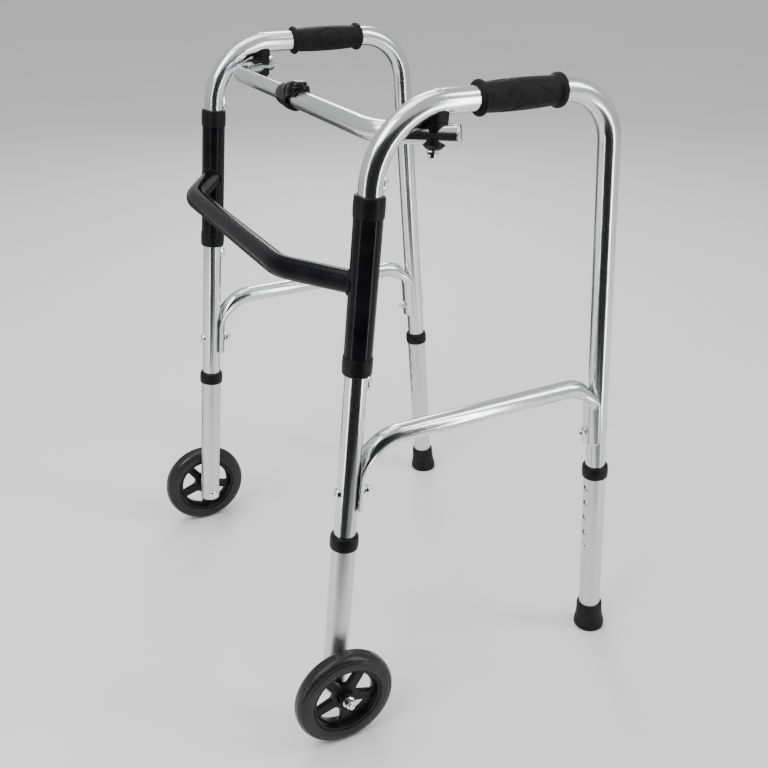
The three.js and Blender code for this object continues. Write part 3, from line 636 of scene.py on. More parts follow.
def add_light():
    """Four soft lights and an even grey studio."""
    softbox("key_light", 20, 48, (1.4, 1.4), 40)
    softbox("side_light", 140, 40, (0.6, 1.8), 24)
    softbox("back_light", 245, 35, (0.7, 1.8), 24)
    softbox("top_light", 300, 80, (1.8, 1.8), 30)
    world = bpy.data.worlds.new("studio")
    world.use_nodes = True
    background = world.node_tree.nodes["Background"]
    background.inputs["Color"].default_value = (*WORLD_COLOUR, 1)
    background.inputs["Strength"].default_value = WORLD_STRENGTH
    bpy.context.scene.world = world


def painted_reflection_card(name, corners, brightness):
    """A flat card round the set, glowing or dark but no lamp, that only shows as a painted reflection in the
    bright tubes: painted dark bands and painted highlights in their gloss.
    """
    shape = bmesh.new()
    shape.faces.new([shape.verts.new(corner) for corner in corners])
    card = to_object(name, shape)
    material = bpy.data.materials.new(name)
    material.use_nodes = True
    nodes, links = material.node_tree.nodes, material.node_tree.links
    nodes.clear()
    glow = nodes.new("ShaderNodeEmission")
    glow.inputs["Color"].default_value = (1, 1, 1, 1)
    glow.inputs["Strength"].default_value = brightness
    output = nodes.new("ShaderNodeOutputMaterial")
    links.new(glow.outputs["Emission"], output.inputs["Surface"])
    card.data.materials.append(material)
    card.visible_camera = False
    card.visible_diffuse = False
    card.visible_shadow = False
    card.visible_transmission = False


def standing_card(name, start, end, heights, brightness):
    (x0, y0), (x1, y1) = start, end
    corners = ((x0, y0, 0), (x1, y1, 0), (x1, y1, heights[1]), (x0, y0, heights[0]))
    painted_reflection_card(name, corners, brightness)


def lying_card(name, places, brightness):
    painted_reflection_card(name, [(x, y, APRON_Z) for x, y in places], brightness)


# Brightness of the painted reflection cards, and where the cards' corners stand on the floor as (x, y)
DARK, GREY, PALE, BRIGHT = 0.02, 0.14, 0.32, 16.0
NEAR_A, NEAR_B, NEAR_C = (0.37, -0.84), (0.83, -0.62), (0.86, 0.32)
STRIP_A, STRIP_C = (0.342, -0.852), (0.836, 0.368)
APRON_A, APRON_C = (0.34, -0.64), (0.60, 0.34)
SIDE_A, SIDE_B = (0.56, -0.24), (0.84, -0.24)
BACK_A, BACK_B = (-0.95, -0.5), (-0.95, 1.4)
BACK_INNER_A, BACK_INNER_B = (-0.5, -0.5), (-0.5, 1.4)
APRON_Z = 0.002


def add_painted_reflections():
    """Painted reflections: dark cards on the camera's side paint dark bands into the gloss, glowing strips beside
    them paint highlights, and a grey one behind paints a grey band.
    """
    standing_card("dark_card_1", NEAR_A, NEAR_B, (1.2, 1.25), DARK)
    standing_card("dark_card_2", NEAR_B, NEAR_C, (1.25, 0.8), DARK)
    lying_card("dark_apron", (NEAR_A, NEAR_B, SIDE_B, SIDE_A, APRON_A), DARK)
    lying_card("side_apron", (SIDE_A, SIDE_B, NEAR_C, APRON_C), PALE)
    standing_card("bright_card_1", STRIP_A, NEAR_A, (1.2, 1.2), BRIGHT)
    standing_card("bright_card_2", NEAR_C, STRIP_C, (1.0, 1.0), BRIGHT)
    standing_card("back_card", BACK_A, BACK_B, (0.5, 0.5), GREY)
    lying_card("back_apron", (BACK_A, BACK_B, BACK_INNER_B, BACK_INNER_A), GREY)


def add_floor():
    shape = bmesh.new()
    bmesh.ops.create_circle(shape, cap_ends=True, radius=FLOOR_R, segments=96)
    floor = to_object("floor", shape)
    floor.data.materials.append(floor_finish())


# ---------- side frames ----------

def side_route(side, *corners, **spacing):
    """A route on this side through corners that are given for the left."""
    return route(*((on_side(side, point), bend) for point, bend in corners), **spacing)


def side_frame(name, side):
    """One bent tube, an upside-down U, with holes for the two snap buttons."""
    stations = side_route(
        side, (front_leg(LEG_END_Z), 0), (front_leg(HANDLE_Z), FRONT_BEND_R),
        (rear_leg(HANDLE_Z), REAR_BEND_R), (rear_leg(LEG_END_Z), 0), steps=32,
    )
    tube = swept(name + "_side_frame", stations, ACROSS, TUBE_R, TUBE_R - TUBE_WALL)
    holes = [rod(*button_line(end, side, DRILL_FROM, DRILL_TO), BUTTON_R + 0.0004) for end in LEGS]
    cut(tube, *holes)
    fit(tube, "side_" + name, "polished_aluminium", "side_frame_" + name)


def button_line(end, side, inner, outer, step=0):
    """Two points on the line through a leg's button hole, at distances from the leg's axis."""
    place = along_leg(end, side, LEGS[end]["button"] + step * HOLE_PITCH)
    outward = between_legs(end)
    return place + outward * inner, place + outward * outer


GRIP_LENGTH = 0.107
GRIP_SIDES = 96
GRIP_RINGS = 110
GRIP_FLANGE_R = 0.0184
GRIP_NECK_R = 0.0145
GRIP_CROWN_R = 0.0166
GRIP_THINNEST = 0.0006
GRIP_END_ROUNDING = 0.004
# Each flange's middle, from its own end of the grip, and half its width
FRONT_FLANGE = (0.0045, 0.0034)
REAR_FLANGE = (0.0062, 0.0042)
GROOVES = 5
GROOVE_DEPTH = 0.0013
GROOVE_HALF_ANGLE = 0.085
# Shares of the grip's length, and radians round the grip
GROOVES_FROM, GROOVES_LONG = 0.16, 0.62
GROOVE_SWING, GROOVE_TWIST = 0.42, 0.25


def flange(distance, shape):
    """From 0 to 1, how much of a flange there is at a distance from its end of the grip."""
    middle_at, half_width = shape
    return math.exp(-((distance - middle_at) / half_width) ** 4)


def grip_radius(s):
    """The grip's outer radius at a share of its length: flange, crowned body, flange and round end."""
    at = s * GRIP_LENGTH
    left = GRIP_LENGTH - at
    radius = GRIP_NECK_R + (GRIP_CROWN_R - GRIP_NECK_R) * math.sin(math.pi * min(1, s * 1.04)) ** 0.8
    radius += (GRIP_FLANGE_R - radius) * max(flange(at, FRONT_FLANGE), flange(left, REAR_FLANGE))
    ease = min(1.0, min(at, left) / GRIP_END_ROUNDING)
    closing = math.sqrt(1 - (1 - ease) ** 2)
    end_r = TUBE_R + GRIP_THINNEST
    return end_r + (radius - end_r) * closing


def groove(s, angle):
    """How deep the wavy grooves are at a place on the grip."""
    inside = min(max((s - GROOVES_FROM) / GROOVES_LONG, 0), 1)
    fade = math.sin(math.pi * inside) ** 0.6
    spacing = 2 * math.pi / GROOVES
    wave = GROOVE_SWING * math.sin(2 * math.pi * (inside * 1.1 + 0.1)) + GROOVE_TWIST * inside
    offset = (angle + wave) % spacing - spacing / 2
    return GROOVE_DEPTH * fade * math.exp(-(offset / GROOVE_HALF_ANGLE) ** 2)


def grip(name, side):
    rings = []
    for j in range(GRIP_RINGS + 1):
        s = j / GRIP_RINGS
        ring = []
        for k in range(GRIP_SIDES):
            angle = 2 * math.pi * k / GRIP_SIDES
            radius = grip_radius(s) - groove(s, angle)
            x = side * FRAME_X + radius * math.cos(angle)
            ring.append(Vector((x, GRIP_LOW.y + s * GRIP_LENGTH, HANDLE_Z + radius * math.sin(angle))))
        rings.append(ring)
    for y in (GRIP_LOW.y + GRIP_LENGTH, GRIP_LOW.y):
        centre = Vector((side * FRAME_X, y, HANDLE_Z))
        rings.append(circle(centre, ACROSS, UP, TUBE_R + 0.0003, GRIP_SIDES))
    piece = skin(name + "_grip", rings, looped=True, sharp=60)
    fit(piece, "side_" + name, "grip_vinyl", "grip_" + name)


# ---------- side braces ----------

def side_brace(name, side):
    """A bent tube whose ends are pressed flat against the legs, with rounded corners."""
    front_offset = Vector((0, BRACE_OFFSET, 0)) / FRONT_UP.z
    rear_offset = Vector((0, -BRACE_OFFSET, 0)) / REAR_UP.z
    front_corner = front_leg(SIDE_BRACE_Z) + front_offset
    rear_corner = rear_leg(SIDE_BRACE_Z) + rear_offset
    stations = side_route(
        side, (front_leg(SIDE_BRACE_END_Z) + front_offset, 0), (front_corner, SIDE_BRACE_BENDS[0]),
        (rear_corner, SIDE_BRACE_BENDS[1]), (rear_leg(SIDE_BRACE_END_Z) + rear_offset, 0),
        steps=30, stretch=0.004,
    )
    middle_y = (front_corner.y + rear_corner.y) / 2
    round_from = SIDE_BRACE_Z - SIDE_BRACE_ROUND_BELOW_TOP
    rings = []
    for point, way in stations:
        bend = SIDE_BRACE_BENDS[0 if point.y < middle_y else 1]
        flat_below = SIDE_BRACE_Z - bend + SIDE_BRACE_FLAT_INTO_BEND
        share = min(max((point.z - flat_below) / (round_from - flat_below), 0), 1)
        roundness = share * share * (3 - 2 * share)
        rings.append(brace_section(point, way.cross(ACROSS), roundness))
    rings = brace_end_rings(stations[0], True) + rings[1:-1] + brace_end_rings(stations[-1], False)
    tube = skin(name + "_side_brace", rings, sharp=50)
    fit(tube, "side_" + name, "bright_aluminium", "side_brace_" + name)


def brace_section(centre, across, roundness, width=1.0, thickness=1.0, sides=56):
    """One ring of the side brace: a circle, or where it is pressed flat a long rounded box."""
    wide = SIDE_BRACE_R * (SIDE_BRACE_WIDER + (1 - SIDE_BRACE_WIDER) * roundness) * width
    thin = (SIDE_BRACE_FLAT + (SIDE_BRACE_R - SIDE_BRACE_FLAT) * roundness) * thickness
    wide_power = 2 / 2.6 if roundness < 0.5 else 1
    thin_power = max(2 / (5 - 3 * roundness), 0.55)
    ring = []
    for k in range(sides):
        cosine, sine = math.cos(2 * math.pi * k / sides), math.sin(2 * math.pi * k / sides)
        x = math.copysign(abs(cosine) ** wide_power, cosine) * wide
        y = math.copysign(abs(sine) ** thin_power, sine) * thin
        curl = (1 - roundness) * x * x / (2 * SIDE_BRACE_CURL_R)
        ring.append(centre + Vector((x, 0, 0)) + across * (y - curl))
    return ring


def brace_end_rings(station, at_start, steps=8):
    """The last few millimetres of a flattened end, drawn in to round corners."""
    point, way = station
    inward = way if at_start else -way
    across = way.cross(ACROSS)
    wide = SIDE_BRACE_R * SIDE_BRACE_WIDER
    rings = []
    for k in range(steps + 1):
        angle = math.pi / 2 * k / steps
        back = SIDE_BRACE_END_CORNER * (1 - math.sin(angle))
        width = (wide - SIDE_BRACE_END_CORNER * (1 - math.cos(angle))) / wide
        thickness = 1 - 0.25 * (1 - math.cos(angle)) ** 2
        rings.append(brace_section(point + inward * back, across, 0, width, thickness))
    rings.append(brace_section(point, across, 0, 0.55, 0.7))
    return rings[::-1] if at_start else rings


def hex_nut(name, base, axis, across_flats, height, bore=0.0, dome=0.0):
    """A chamfered six-sided nut. A dome height above zero closes it."""
    flat_r, corner_r = across_flats / 2, across_flats / math.sqrt(3)
    body = turned(name, ((0, 0), (corner_r, 0), (corner_r, height), (0, height)), base, axis, sides=6)
    slope = 0.3 * (corner_r - flat_r) + 0.0002
    envelope = (
        (0, -0.001), (flat_r, -0.001), (corner_r + 0.0002, slope), (corner_r + 0.0002, height - slope),
        (flat_r, height + 0.0002), (0, height + 0.0002),
    )
    common(body, turned("cutter", envelope, base, axis, sides=60))
    if dome:
        radius = flat_r * 0.86
        cap = (
            (0, height * 0.4), (radius, height * 0.4), (radius, height + dome * 0.3, dome * 0.5),
            (radius * 0.45, height + dome, dome * 0.5), (0, height + dome),
        )
        joined(body, turned("cutter", cap, base, axis, sides=48))
    elif bore:
        cut(body, rod(base - axis * 0.002, base + axis * (height + 0.002), bore))
    return soften(body, 0.0002, 45, 2)


def washer(name, base, axis, bore, radius, height, ease, sides):
    """A flat ring with eased outer edges."""
    corners = ((bore, 0), (radius, 0, ease), (radius, height, ease), (bore, height))
    return turned(name, corners, base, axis, sides=sides, closed=True)


def brace_bolt(name, side, end):
    """A round-headed bolt through a leg and the side brace's flat end, with a dome nut."""
    base = along_leg(end, side, BRACE_BOLT_Z[end] / LEGS[end]["up"].z)
    inward = between_legs(end)
    head_r, shank_r, washer_height = 0.0064, 0.003, 0.0011
    seat, nut_seat = TUBE_R - 0.0012, BRACE_OFFSET + SIDE_BRACE_FLAT
    corners = (
        (0, -seat - 0.0022), (0.0022, -seat - 0.0022), (0.0024, -seat - 0.0046, 0.0002),
        (head_r * 0.8, -seat - 0.0042, 0.0022), (head_r, -seat - 0.0012, 0.001), (head_r, -seat, 0.0002),
        (shank_r, -seat), (shank_r, nut_seat + 0.004), (0, nut_seat + 0.004),
    )
    bolt = turned(f"{name}_{end}_brace_bolt", corners, base, inward, sides=48)
    fit(bolt, "side_" + name, "chrome", f"brace_bolt_{end}_{name}")
    ring = washer(f"{name}_{end}_brace_washer", base + inward * nut_seat, inward,
                  0.0032, 0.0062, washer_height, 0.0002, 48)
    fit(ring, "side_" + name, "chrome")
    nut = hex_nut(f"{name}_{end}_brace_nut", base + inward * (nut_seat + washer_height), inward,
                  0.0096, 0.0040, dome=0.0044)
    fit(nut, "side_" + name, "chrome")


# ---------- leg extensions ----------

def leg_extension(name, side, end):
    """The outer tube of a leg with its height holes, and in front the axle's hole."""
    ends = [(along_leg(end, side, LEGS[end][place]), 0) for place in ("bottom", "top")]
    stations = route(*ends, stretch=0.012)
    tube = swept(f"{name}_{end}_extension", stations, ACROSS, EXTENSION_R, EXTENSION_BORE_R)
    holes = [rod(*button_line(end, side, DRILL_FROM, DRILL_TO, step), HOLE_R) for step in range(HOLE_COUNT)]
    if end == "front":
        axle_at = Vector((side * FRAME_X, AXLE.y, AXLE.z))
        reach = Vector((2 * EXTENSION_R, 0, 0))
        holes.append(rod(axle_at - reach, axle_at + reach, AXLE_R + 0.0002))
    cut(tube, *holes)
    soften(tube, 0.00025, 50, 2)
    fit(tube, f"{end}_leg_{name}", "satin_aluminium", f"leg_extension_{end}_{name}")


def leg_collar(name, side, end):
    """The plastic collar that caps the extension and closes on the frame's leg."""
    base = along_leg(end, side, LEGS[end]["top"] + COLLAR_ABOVE - COLLAR_HEIGHT)
    lip = TUBE_R + 0.0002
    inside = EXTENSION_R + 0.0002
    step = COLLAR_HEIGHT - COLLAR_ABOVE + 0.0003
    corners = (
        (inside, 0), (COLLAR_R - 0.0002, 0, 0.0009), (COLLAR_R + 0.0003, COLLAR_HEIGHT * 0.45, 0.003),
        (COLLAR_R - 0.0004, COLLAR_HEIGHT - 0.0016, 0.0012), (COLLAR_R - 0.0022, COLLAR_HEIGHT, 0.0007),
        (lip, COLLAR_HEIGHT, 0.0003), (lip, step), (inside, step),
    )
    piece = turned(f"{name}_{end}_collar", corners, base, LEGS[end]["up"], closed=True)
    fit(piece, f"{end}_leg_{name}", "black_plastic", f"leg_collar_{end}_{name}")


def snap_button(name, side, end):
    """A button with a domed end, which stands out of the leg through the extension's hole."""
    inner, outer = button_line(end, side, BUTTON_FROM, BUTTON_TO)
    length = BUTTON_TO - BUTTON_FROM
    corners = ((0, 0), (BUTTON_R, 0, 0.0003), (BUTTON_R, length - 0.0014, 0.0022), (0, length))
    piece = turned(f"{name}_{end}_snap_button", corners, inner, outer - inner, sides=40, steps=8)
    fit(piece, f"leg_button_{end}_{name}", "chrome", f"leg_button_{end}_{name}")


def rear_tip(name, side):
    """A flared rubber cup, flat where it meets the floor."""
    bore = EXTENSION_R + 0.0002
    corners = (
        (0, -0.003), (TIP_R, -0.003), (TIP_R, 0.0035), (TIP_R - 0.0003, 0.009, 0.004),
        (0.0182, 0.019, 0.007), (0.0174, TIP_HEIGHT - 0.003, 0.002), (0.0166, TIP_HEIGHT, 0.0012),
        (bore, TIP_HEIGHT, 0.0004), (bore, 0.006), (0, 0.006),
    )
    foot = on_side(side, REAR_FOOT)
    piece = turned(name + "_rear_tip", corners, foot, REAR_UP, sides=80, sharp=45)
    for vertex in piece.data.vertices:
        stand_on_floor(vertex.co, foot)
    fit(piece, "rear_leg_" + name, "tip_rubber", "rear_tip_" + name)


def stand_on_floor(place, foot, edge=0.0025, narrower=0.055):
    """Lifts a vertex of the tip to the floor, and draws the sole's lower edge in."""
    if place.z >= edge:
        return
    out = Vector((place.x - foot.x, place.y - foot.y, 0))
    depth = (edge - max(place.z, 0)) / edge
    shrink = 1 - narrower * depth * depth if out.length > TIP_R * 0.8 else 1
    place.x, place.y = foot.x + out.x * shrink, foot.y + out.y * shrink
    place.z = max(place.z, 0)


# ---------- wheels ----------

def wheel_hub(name, side):
    """A moulded hub: rim, dished web with wedge windows and a boss round the axle."""
    centre = on_side(side, AXLE)
    axis = Vector((side, 0, 0))
    rim_bore, web_r, web_half = RIM_R - 0.0052, RIM_R - 0.0045, 0.0040
    hub = turned(name + "_wheel_hub", (
        (RIM_R - 0.0035, -HUB_HALF), (RIM_R, -HUB_HALF, 0.0006), (RIM_R, HUB_HALF, 0.0006),
        (RIM_R - 0.0035, HUB_HALF, 0.0006), (rim_bore, 0.0045), (rim_bore, -0.0045),
    ), centre, axis, sides=96, closed=True)
    web = turned("cutter", (
        (0, -web_half), (0.016, -web_half), (web_r, -0.0030), (web_r, 0.0030), (0.016, web_half),
        (0, web_half),
    ), centre, axis, sides=96)
    windows = [hub_window(centre, axis, (i + 0.5) / SPOKES) for i in range(SPOKES)]
    joined(hub, soften(cut(web, *windows), 0.0006, 45, 2))
    boss = turned("cutter", (
        (0, -BOSS_HALF), (BOSS_R, -BOSS_HALF, 0.0008), (BOSS_R + 0.001, -0.002), (BOSS_R + 0.001, 0.002),
        (BOSS_R, BOSS_HALF, 0.0008), (0, BOSS_HALF),
    ), centre, axis, sides=72)
    reach = axis * 0.02
    cut(joined(hub, boss), rod(centre - reach, centre + reach, AXLE_R + 0.0004))
    fit(hub, "wheel_" + name, "hub_plastic", "wheel_hub_" + name)


def hub_window(centre, axis, turn):
    """A wedge with round corners between two spokes, as a cutter through the web."""
    middle_angle = 2 * math.pi * turn
    outer = [(WINDOW_OUTER_R, middle_angle + WINDOW_HALF_ANGLE * (k / 3 - 1)) for k in range(7)]
    inner = [(WINDOW_INNER_R, middle_angle + WINDOW_HALF_ANGLE * share) for share in (0.55, -0.55)]
    corners = outer + inner
    rounded = (corners[0], corners[6], *inner)
    flat = outline(*(
        (-corner[0] * math.cos(corner[1]), corner[0] * math.sin(corner[1]),
         WINDOW_ROUNDING if corner in rounded else 0.0)
        for corner in corners
    ), closed=True)
    rings = [[centre + axis * reach + Vector((0, y, z)) for z, y in flat] for reach in (-0.01, 0.01)]
    return skin("cutter", rings)


def wheel_tyre(name, side):
    """A solid tyre with flat walls, a raised shoulder and a crowned tread."""
    half, bore = WHEEL_HALF, RIM_R + 0.0002
    wall_r, shoulder_r, edge_r = 0.0545, 0.0595, WHEEL_R - 0.0004
    outer_side = [
        (bore, half - 0.0006, 0.0004), (RIM_R + 0.0022, half, 0.0006), (wall_r, half, 0.002),
        (wall_r + 0.0011, half - 0.0007, 0.0008), (shoulder_r, half - 0.0012, 0.003),
        (edge_r, half - 0.0062, 0.003),
    ]
    inner_side = [(radius, -height, ease) for radius, height, ease in outer_side]
    corners = (*inner_side, (WHEEL_R, 0, 0.004), *reversed(outer_side))
    piece = turned(name + "_wheel_tyre", corners, on_side(side, AXLE), (side, 0, 0), sides=128, closed=True,
                   sharp=30)
    fit(piece, "wheel_" + name, "tyre_rubber", "wheel_tyre_" + name)


def axle(name, side):
    """The axle bolt with its head, spacer, washer, nut and threaded end."""
    centre = Vector((side * FRAME_X, AXLE.y, AXLE.z))
    outward = Vector((side, 0, 0))
    head, head_r = -EXTENSION_R - 0.0001, 0.0075
    bore = AXLE_R + 0.0003
    washer_from = AXLE.x - FRAME_X + WHEEL_HALF + 0.0004
    washer_height = 0.0014
    corners = (
        (0, head - 0.0045), (0.0042, head - 0.0044), (0.0072, head - 0.002, 0.0015),
        (head_r, head - 0.0004, 0.0004), (head_r, head), (AXLE_R, head), (AXLE_R, washer_from),
        *thread(washer_from, AXLE_R),
    )
    bolt = turned(name + "_axle_bolt", corners, centre, outward, sides=48, sharp=30)
    fit(bolt, "front_leg_" + name, "chrome", "axle_bolt_" + name)
    spacer_from, spacer_to = EXTENSION_R - 0.0014, AXLE.x - FRAME_X - WHEEL_HALF - 0.0003
    spacer = turned(name + "_axle_spacer", (
        (bore, spacer_from), (0.0078, spacer_from), (0.0082, spacer_to, 0.0003), (bore, spacer_to),
    ), centre, outward, sides=48, closed=True)
    fit(spacer, "front_leg_" + name, "black_plastic", "axle_spacer_" + name)
    ring = washer(name + "_axle_washer", centre + outward * washer_from, outward,
                  bore, 0.0075, washer_height, 0.0003, 56)
    fit(ring, "front_leg_" + name, "chrome")
    nut = hex_nut(name + "_axle_nut", centre + outward * (washer_from + washer_height), outward,
                  0.0105, 0.0056, bore=AXLE_R + 0.0001)
    fit(nut, "front_leg_" + name, "chrome", "axle_nut_" + name)


def thread(start, radius, turns=9, pitch=0.00125, depth=0.0005):
    """The outline of a thread's crests and roots, closed by a chamfered end."""
    points = []
    for i in range(turns):
        at = start + i * pitch
        points += [(radius, at), (radius, at + pitch * 0.25)]
        points += [(radius - depth, at + pitch * 0.55), (radius - depth, at + pitch * 0.7)]
    end = start + turns * pitch + 0.0004
    return points + [(radius - 0.0009, end), (0, end)]


# ---------- front brace ----------

def front_brace_corner(side):
    return Vector((side * BRACE_CORNER_X, AXLE.y - BRACE_AHEAD, FOLD.z))


def front_brace():
    """A bent tube welded between two upright sleeves."""
    right, left = (front_leg(FOLD.z, side) for side in (-1, 1))
    bends = [(front_brace_corner(side), BRACE_BEND_R) for side in (-1, 1)]
    brace = swept("front_brace_tube", route((right, 0), *bends, (left, 0)), UP, TUBE_R)
    joined(brace, *(sleeve_rod(side, 0, SLEEVE_R) for side in (-1, 1)))
    cut(brace, *(sleeve_rod(side, 0.001, SLEEVE_BORE_R) for side in (-1, 1)))
    soften(brace, 0.0004, 60, 2)
    fit(brace, "base", "black_coat", "front_brace")
    for name, side in SIDES:
        centre = front_leg(FOLD.z, side)
        inward = (front_brace_corner(side) - centre).normalized()
        fit(weld_bead(name + "_weld", centre, inward), "base", "black_coat")


def sleeve_rod(side, longer, radius):
    """A rod as long as a sleeve, or longer by a little at both ends."""
    low, high = front_leg(SLEEVE_LOW_Z - longer), front_leg(SLEEVE_HIGH_Z + longer)
    return rod(on_side(side, low), on_side(side, high), radius, 64)


def weld_bead(name, centre, inward):
    """A rippled bead where the brace's tube meets the sleeve."""
    steps, bead_r, ripple_r = 144, 0.0021, 0.00035
    beside = UP.cross(inward).normalized()
    points = []
    for k in range(steps):
        angle = 2 * math.pi * k / steps
        start = UP * (TUBE_R * math.cos(angle)) + beside * (TUBE_R * math.sin(angle))
        points.append(centre + start + inward * sleeve_reach(start, inward))
    rings = []
    for k, point in enumerate(points):
        way = (points[(k + 1) % steps] - points[k - 1]).normalized()
        out = point - centre
        across = (out - way * out.dot(way)).normalized()
        size = bead_r + ripple_r * math.sin(k * 2 * math.pi / 4)
        rings.append(circle(point, across, way.cross(across), size, 14))
    return skin(name, rings, looped=True, sharp=70)


def sleeve_reach(start, inward):
    """How far along the brace's tube a line on its surface leaves the sleeve."""
    flat_start = start - FRONT_UP * start.dot(FRONT_UP)
    flat_way = inward - FRONT_UP * inward.dot(FRONT_UP)
    a = flat_way.dot(flat_way)
    b = 2 * flat_start.dot(flat_way)
    c = flat_start.dot(flat_start) - SLEEVE_R ** 2
    return (-b + math.sqrt(max(b * b - 4 * a * c, 0))) / (2 * a)


def sleeve_bushes(name, side):
    """Flanged bushes in both ends of a sleeve."""
    for which, z, way, height in (
        ("upper", SLEEVE_HIGH_Z, 1, TOP_BUSH_HEIGHT), ("lower", SLEEVE_LOW_Z, -1, LOW_BUSH_HEIGHT),
    ):
        neck_r = SLEEVE_BORE_R - 0.0003
        corners = (
            (BUSH_BORE_R, -0.012), (neck_r, -0.012), (neck_r, 0.0002), (BUSH_R - 0.0003, 0.0002, 0.0005),
            (BUSH_R + 0.0001, height * 0.5, 0.004), (BUSH_R - 0.0004, height - 0.0012, 0.0008),
            (BUSH_R - 0.0016, height, 0.0008), (BUSH_BORE_R, height, 0.0003),
        )
        base = front_leg(z, side)
        piece = turned(f"{name}_{which}_bush", corners, base, FRONT_UP * way, closed=True)
        fit(piece, "base", "black_plastic", f"sleeve_bush_{which}_{name}")


def stop_rivets(name, side):
    """Oval stops riveted to the back of the front leg, which keep it from sliding in its sleeve."""
    back = between_legs("front")
    above = SLEEVE_HIGH_Z + TOP_BUSH_HEIGHT + STOP_HALF + STOP_CLEAR
    below = SLEEVE_LOW_Z - LOW_BUSH_HEIGHT - STOP_HALF - STOP_CLEAR
    corners = (
        (0, -0.004), (STOP_R, -0.004), (STOP_R, 0.0014, 0.001), (STOP_R * 0.74, 0.0022, 0.001),
        (STOP_R * 0.66, 0.0044, 0.0015), (STOP_R * 0.4, 0.0054, 0.002), (0, 0.0056),
    )
    for which, z in (("upper", above), ("lower", below)):
        base = front_leg(z, side) + back * TUBE_R
        piece = turned(f"{name}_{which}_stop_rivet", corners, base, back, steps=8)
        for vertex in piece.data.vertices:
            along = (vertex.co - base).dot(FRONT_UP)
            vertex.co += FRONT_UP * (along * (STOP_HALF / STOP_R - 1))
        fit(piece, "side_" + name, "chrome")


# ---------- crossbar ----------

def on_bar(x, above=0.0):
    """The crossbar's axis at a distance from the middle, or a place above it."""
    return Vector((x, BAR_Y, BAR_Z + above))


def bar_corner(side):
    return on_bar(side * BAR_CORNER_X)


def bar_outward(side):
    """The way that a bent half of the crossbar leads past its pivot."""
    return (on_side(side, PIVOT) - bar_corner(side)).normalized()


def bar_stations(name, side):
    """The axis of one half of the crossbar, from its free end to past its pivot."""
    end = on_side(side, PIVOT) + bar_outward(side) * BAR_PAST_PIVOT
    free = on_bar(BAR_FREE_X[name])
    return route((free, 0), (bar_corner(side), BAR_BEND_R), (end, 0), steps=20)


def crossbar_tube(name, side):
    """One bent half of the telescope with its bright end plug."""
    radius = BAR_R[name]
    stations = bar_stations(name, side)
    tube = swept(f"{name}_crossbar_tube", stations, UP, radius, radius - BAR_WALL, rim=0.0004)
    cut(tube, rod(on_pivot(side, BAR_Z - 0.03), on_pivot(side, BAR_Z + 0.03), PIVOT_BOLT_R + 0.0005))
    fit(tube, "crossbar_" + name, "polished_aluminium", BAR_NODES[name])
    rim, inside = radius + 0.0003, radius - BAR_WALL - 0.0002
    corners = (
        (0, -0.009), (inside, -0.009), (inside, 0.0001), (rim - 0.0006, 0.0001), (rim, 0.0008, 0.0006),
        (rim, 0.002, 0.0012), (rim - 0.0026, 0.0036, 0.0014), (0, 0.0041),
    )
    plug = turned(f"{name}_crossbar_plug", corners, stations[-1][0], bar_outward(side), sides=56)
    fit(plug, "crossbar_" + name, "bright_aluminium", "crossbar_plug_" + name)


def on_pivot(side, z):
    """The pivot bolt's axis at a height."""
    return on_side(side, PIVOT + FRONT_UP * ((z - BAR_Z) / FRONT_UP.z))


def rounded_block(name, side, low, high, radius, power=3.2, sides=64):
    """A block about the pivot bolt and square to it, between a circle and a square in plan."""
    ahead = FRONT_UP.cross(ACROSS)
    rings = [[], []]
    for k in range(sides):
        cosine, sine = math.cos(2 * math.pi * k / sides), math.sin(2 * math.pi * k / sides)
        reach = radius / (abs(cosine) ** power + abs(sine) ** power) ** (1 / power)
        for ring, z in zip(rings, (low, high)):
            ring.append(on_pivot(side, z) + ACROSS * (reach * cosine) + ahead * (reach * sine))
    return skin(name, rings)


def saddles(name, side):
    """Moulded blocks: one fits the frame's tube from below, and two close on the crossbar."""
    handle_corner = (front_leg(HANDLE_Z), FRONT_BEND_R)
    frame_route = side_route(side, (front_leg(0.6), 0), handle_corner, (rear_leg(HANDLE_Z), 0))
    seat, into_tube = SADDLE_SPLIT_Z + 0.0001, HANDLE_Z - 0.0078
    upper = rounded_block(name + "_frame_saddle", side, seat, into_tube, SADDLE_R)
    cut(upper, swept("cutter", frame_route, ACROSS, TUBE_R + 0.0002))
    soften(upper, SADDLE_SOFTNESS, 50)
    fit(upper, "side_" + name, "black_plastic", "saddle_frame_" + name)

    top = SADDLE_SPLIT_Z - 0.0004
    lower = rounded_block(name + "_bar_saddle", side, BAR_Z + 0.002, top, SADDLE_R, power=2.4)
    joined(lower, saddle_flap(name, side))
    turning_room = rounded_block("cutter", side, top, HANDLE_Z, SADDLE_R + 0.003)
    cut(lower, bar_cutter(name, side), turning_room)
    soften(lower, 0.0005, 50)
    fit(lower, "crossbar_" + name, "black_plastic", "saddle_bar_" + name)

    under = rounded_block(name + "_under_saddle", side, SADDLE_LOW_Z, BAR_Z - 0.003, SADDLE_R)
    beyond = SADDLE_R + 0.003
    taper = (
        (0, -0.001), (0.0082, 0.0), (SADDLE_R + 0.001, 0.0045), (beyond, 0.006), (beyond, 0.03), (0, 0.03),
    )
    common(under, turned("cutter", taper, on_pivot(side, SADDLE_LOW_Z), FRONT_UP))
    cut(under, bar_cutter(name, side))
    soften(under, SADDLE_SOFTNESS, 50)
    fit(under, "crossbar_" + name, "black_plastic", "saddle_lower_" + name)


def bar_cutter(name, side):
    return swept("cutter", bar_stations(name, side), UP, BAR_R[name] + 0.0002)


def saddle_flap(name, side):
    """The thin tongue of the bar's upper saddle, which lies forward along the crossbar."""
    back = bar_outward(side)
    start, end = on_side(side, PIVOT) - back * 0.024, on_side(side, PIVOT) + back * 0.004
    shell = rod(start, end, BAR_R[name] + 0.0019, 64)
    reach = Vector((0.05, 0.05, 0.05))
    centre = (start + end) / 2
    highest = Vector((reach.x, reach.y, BAR_R[name] * 0.72))
    return cut(shell, block(centre - reach, centre + highest))


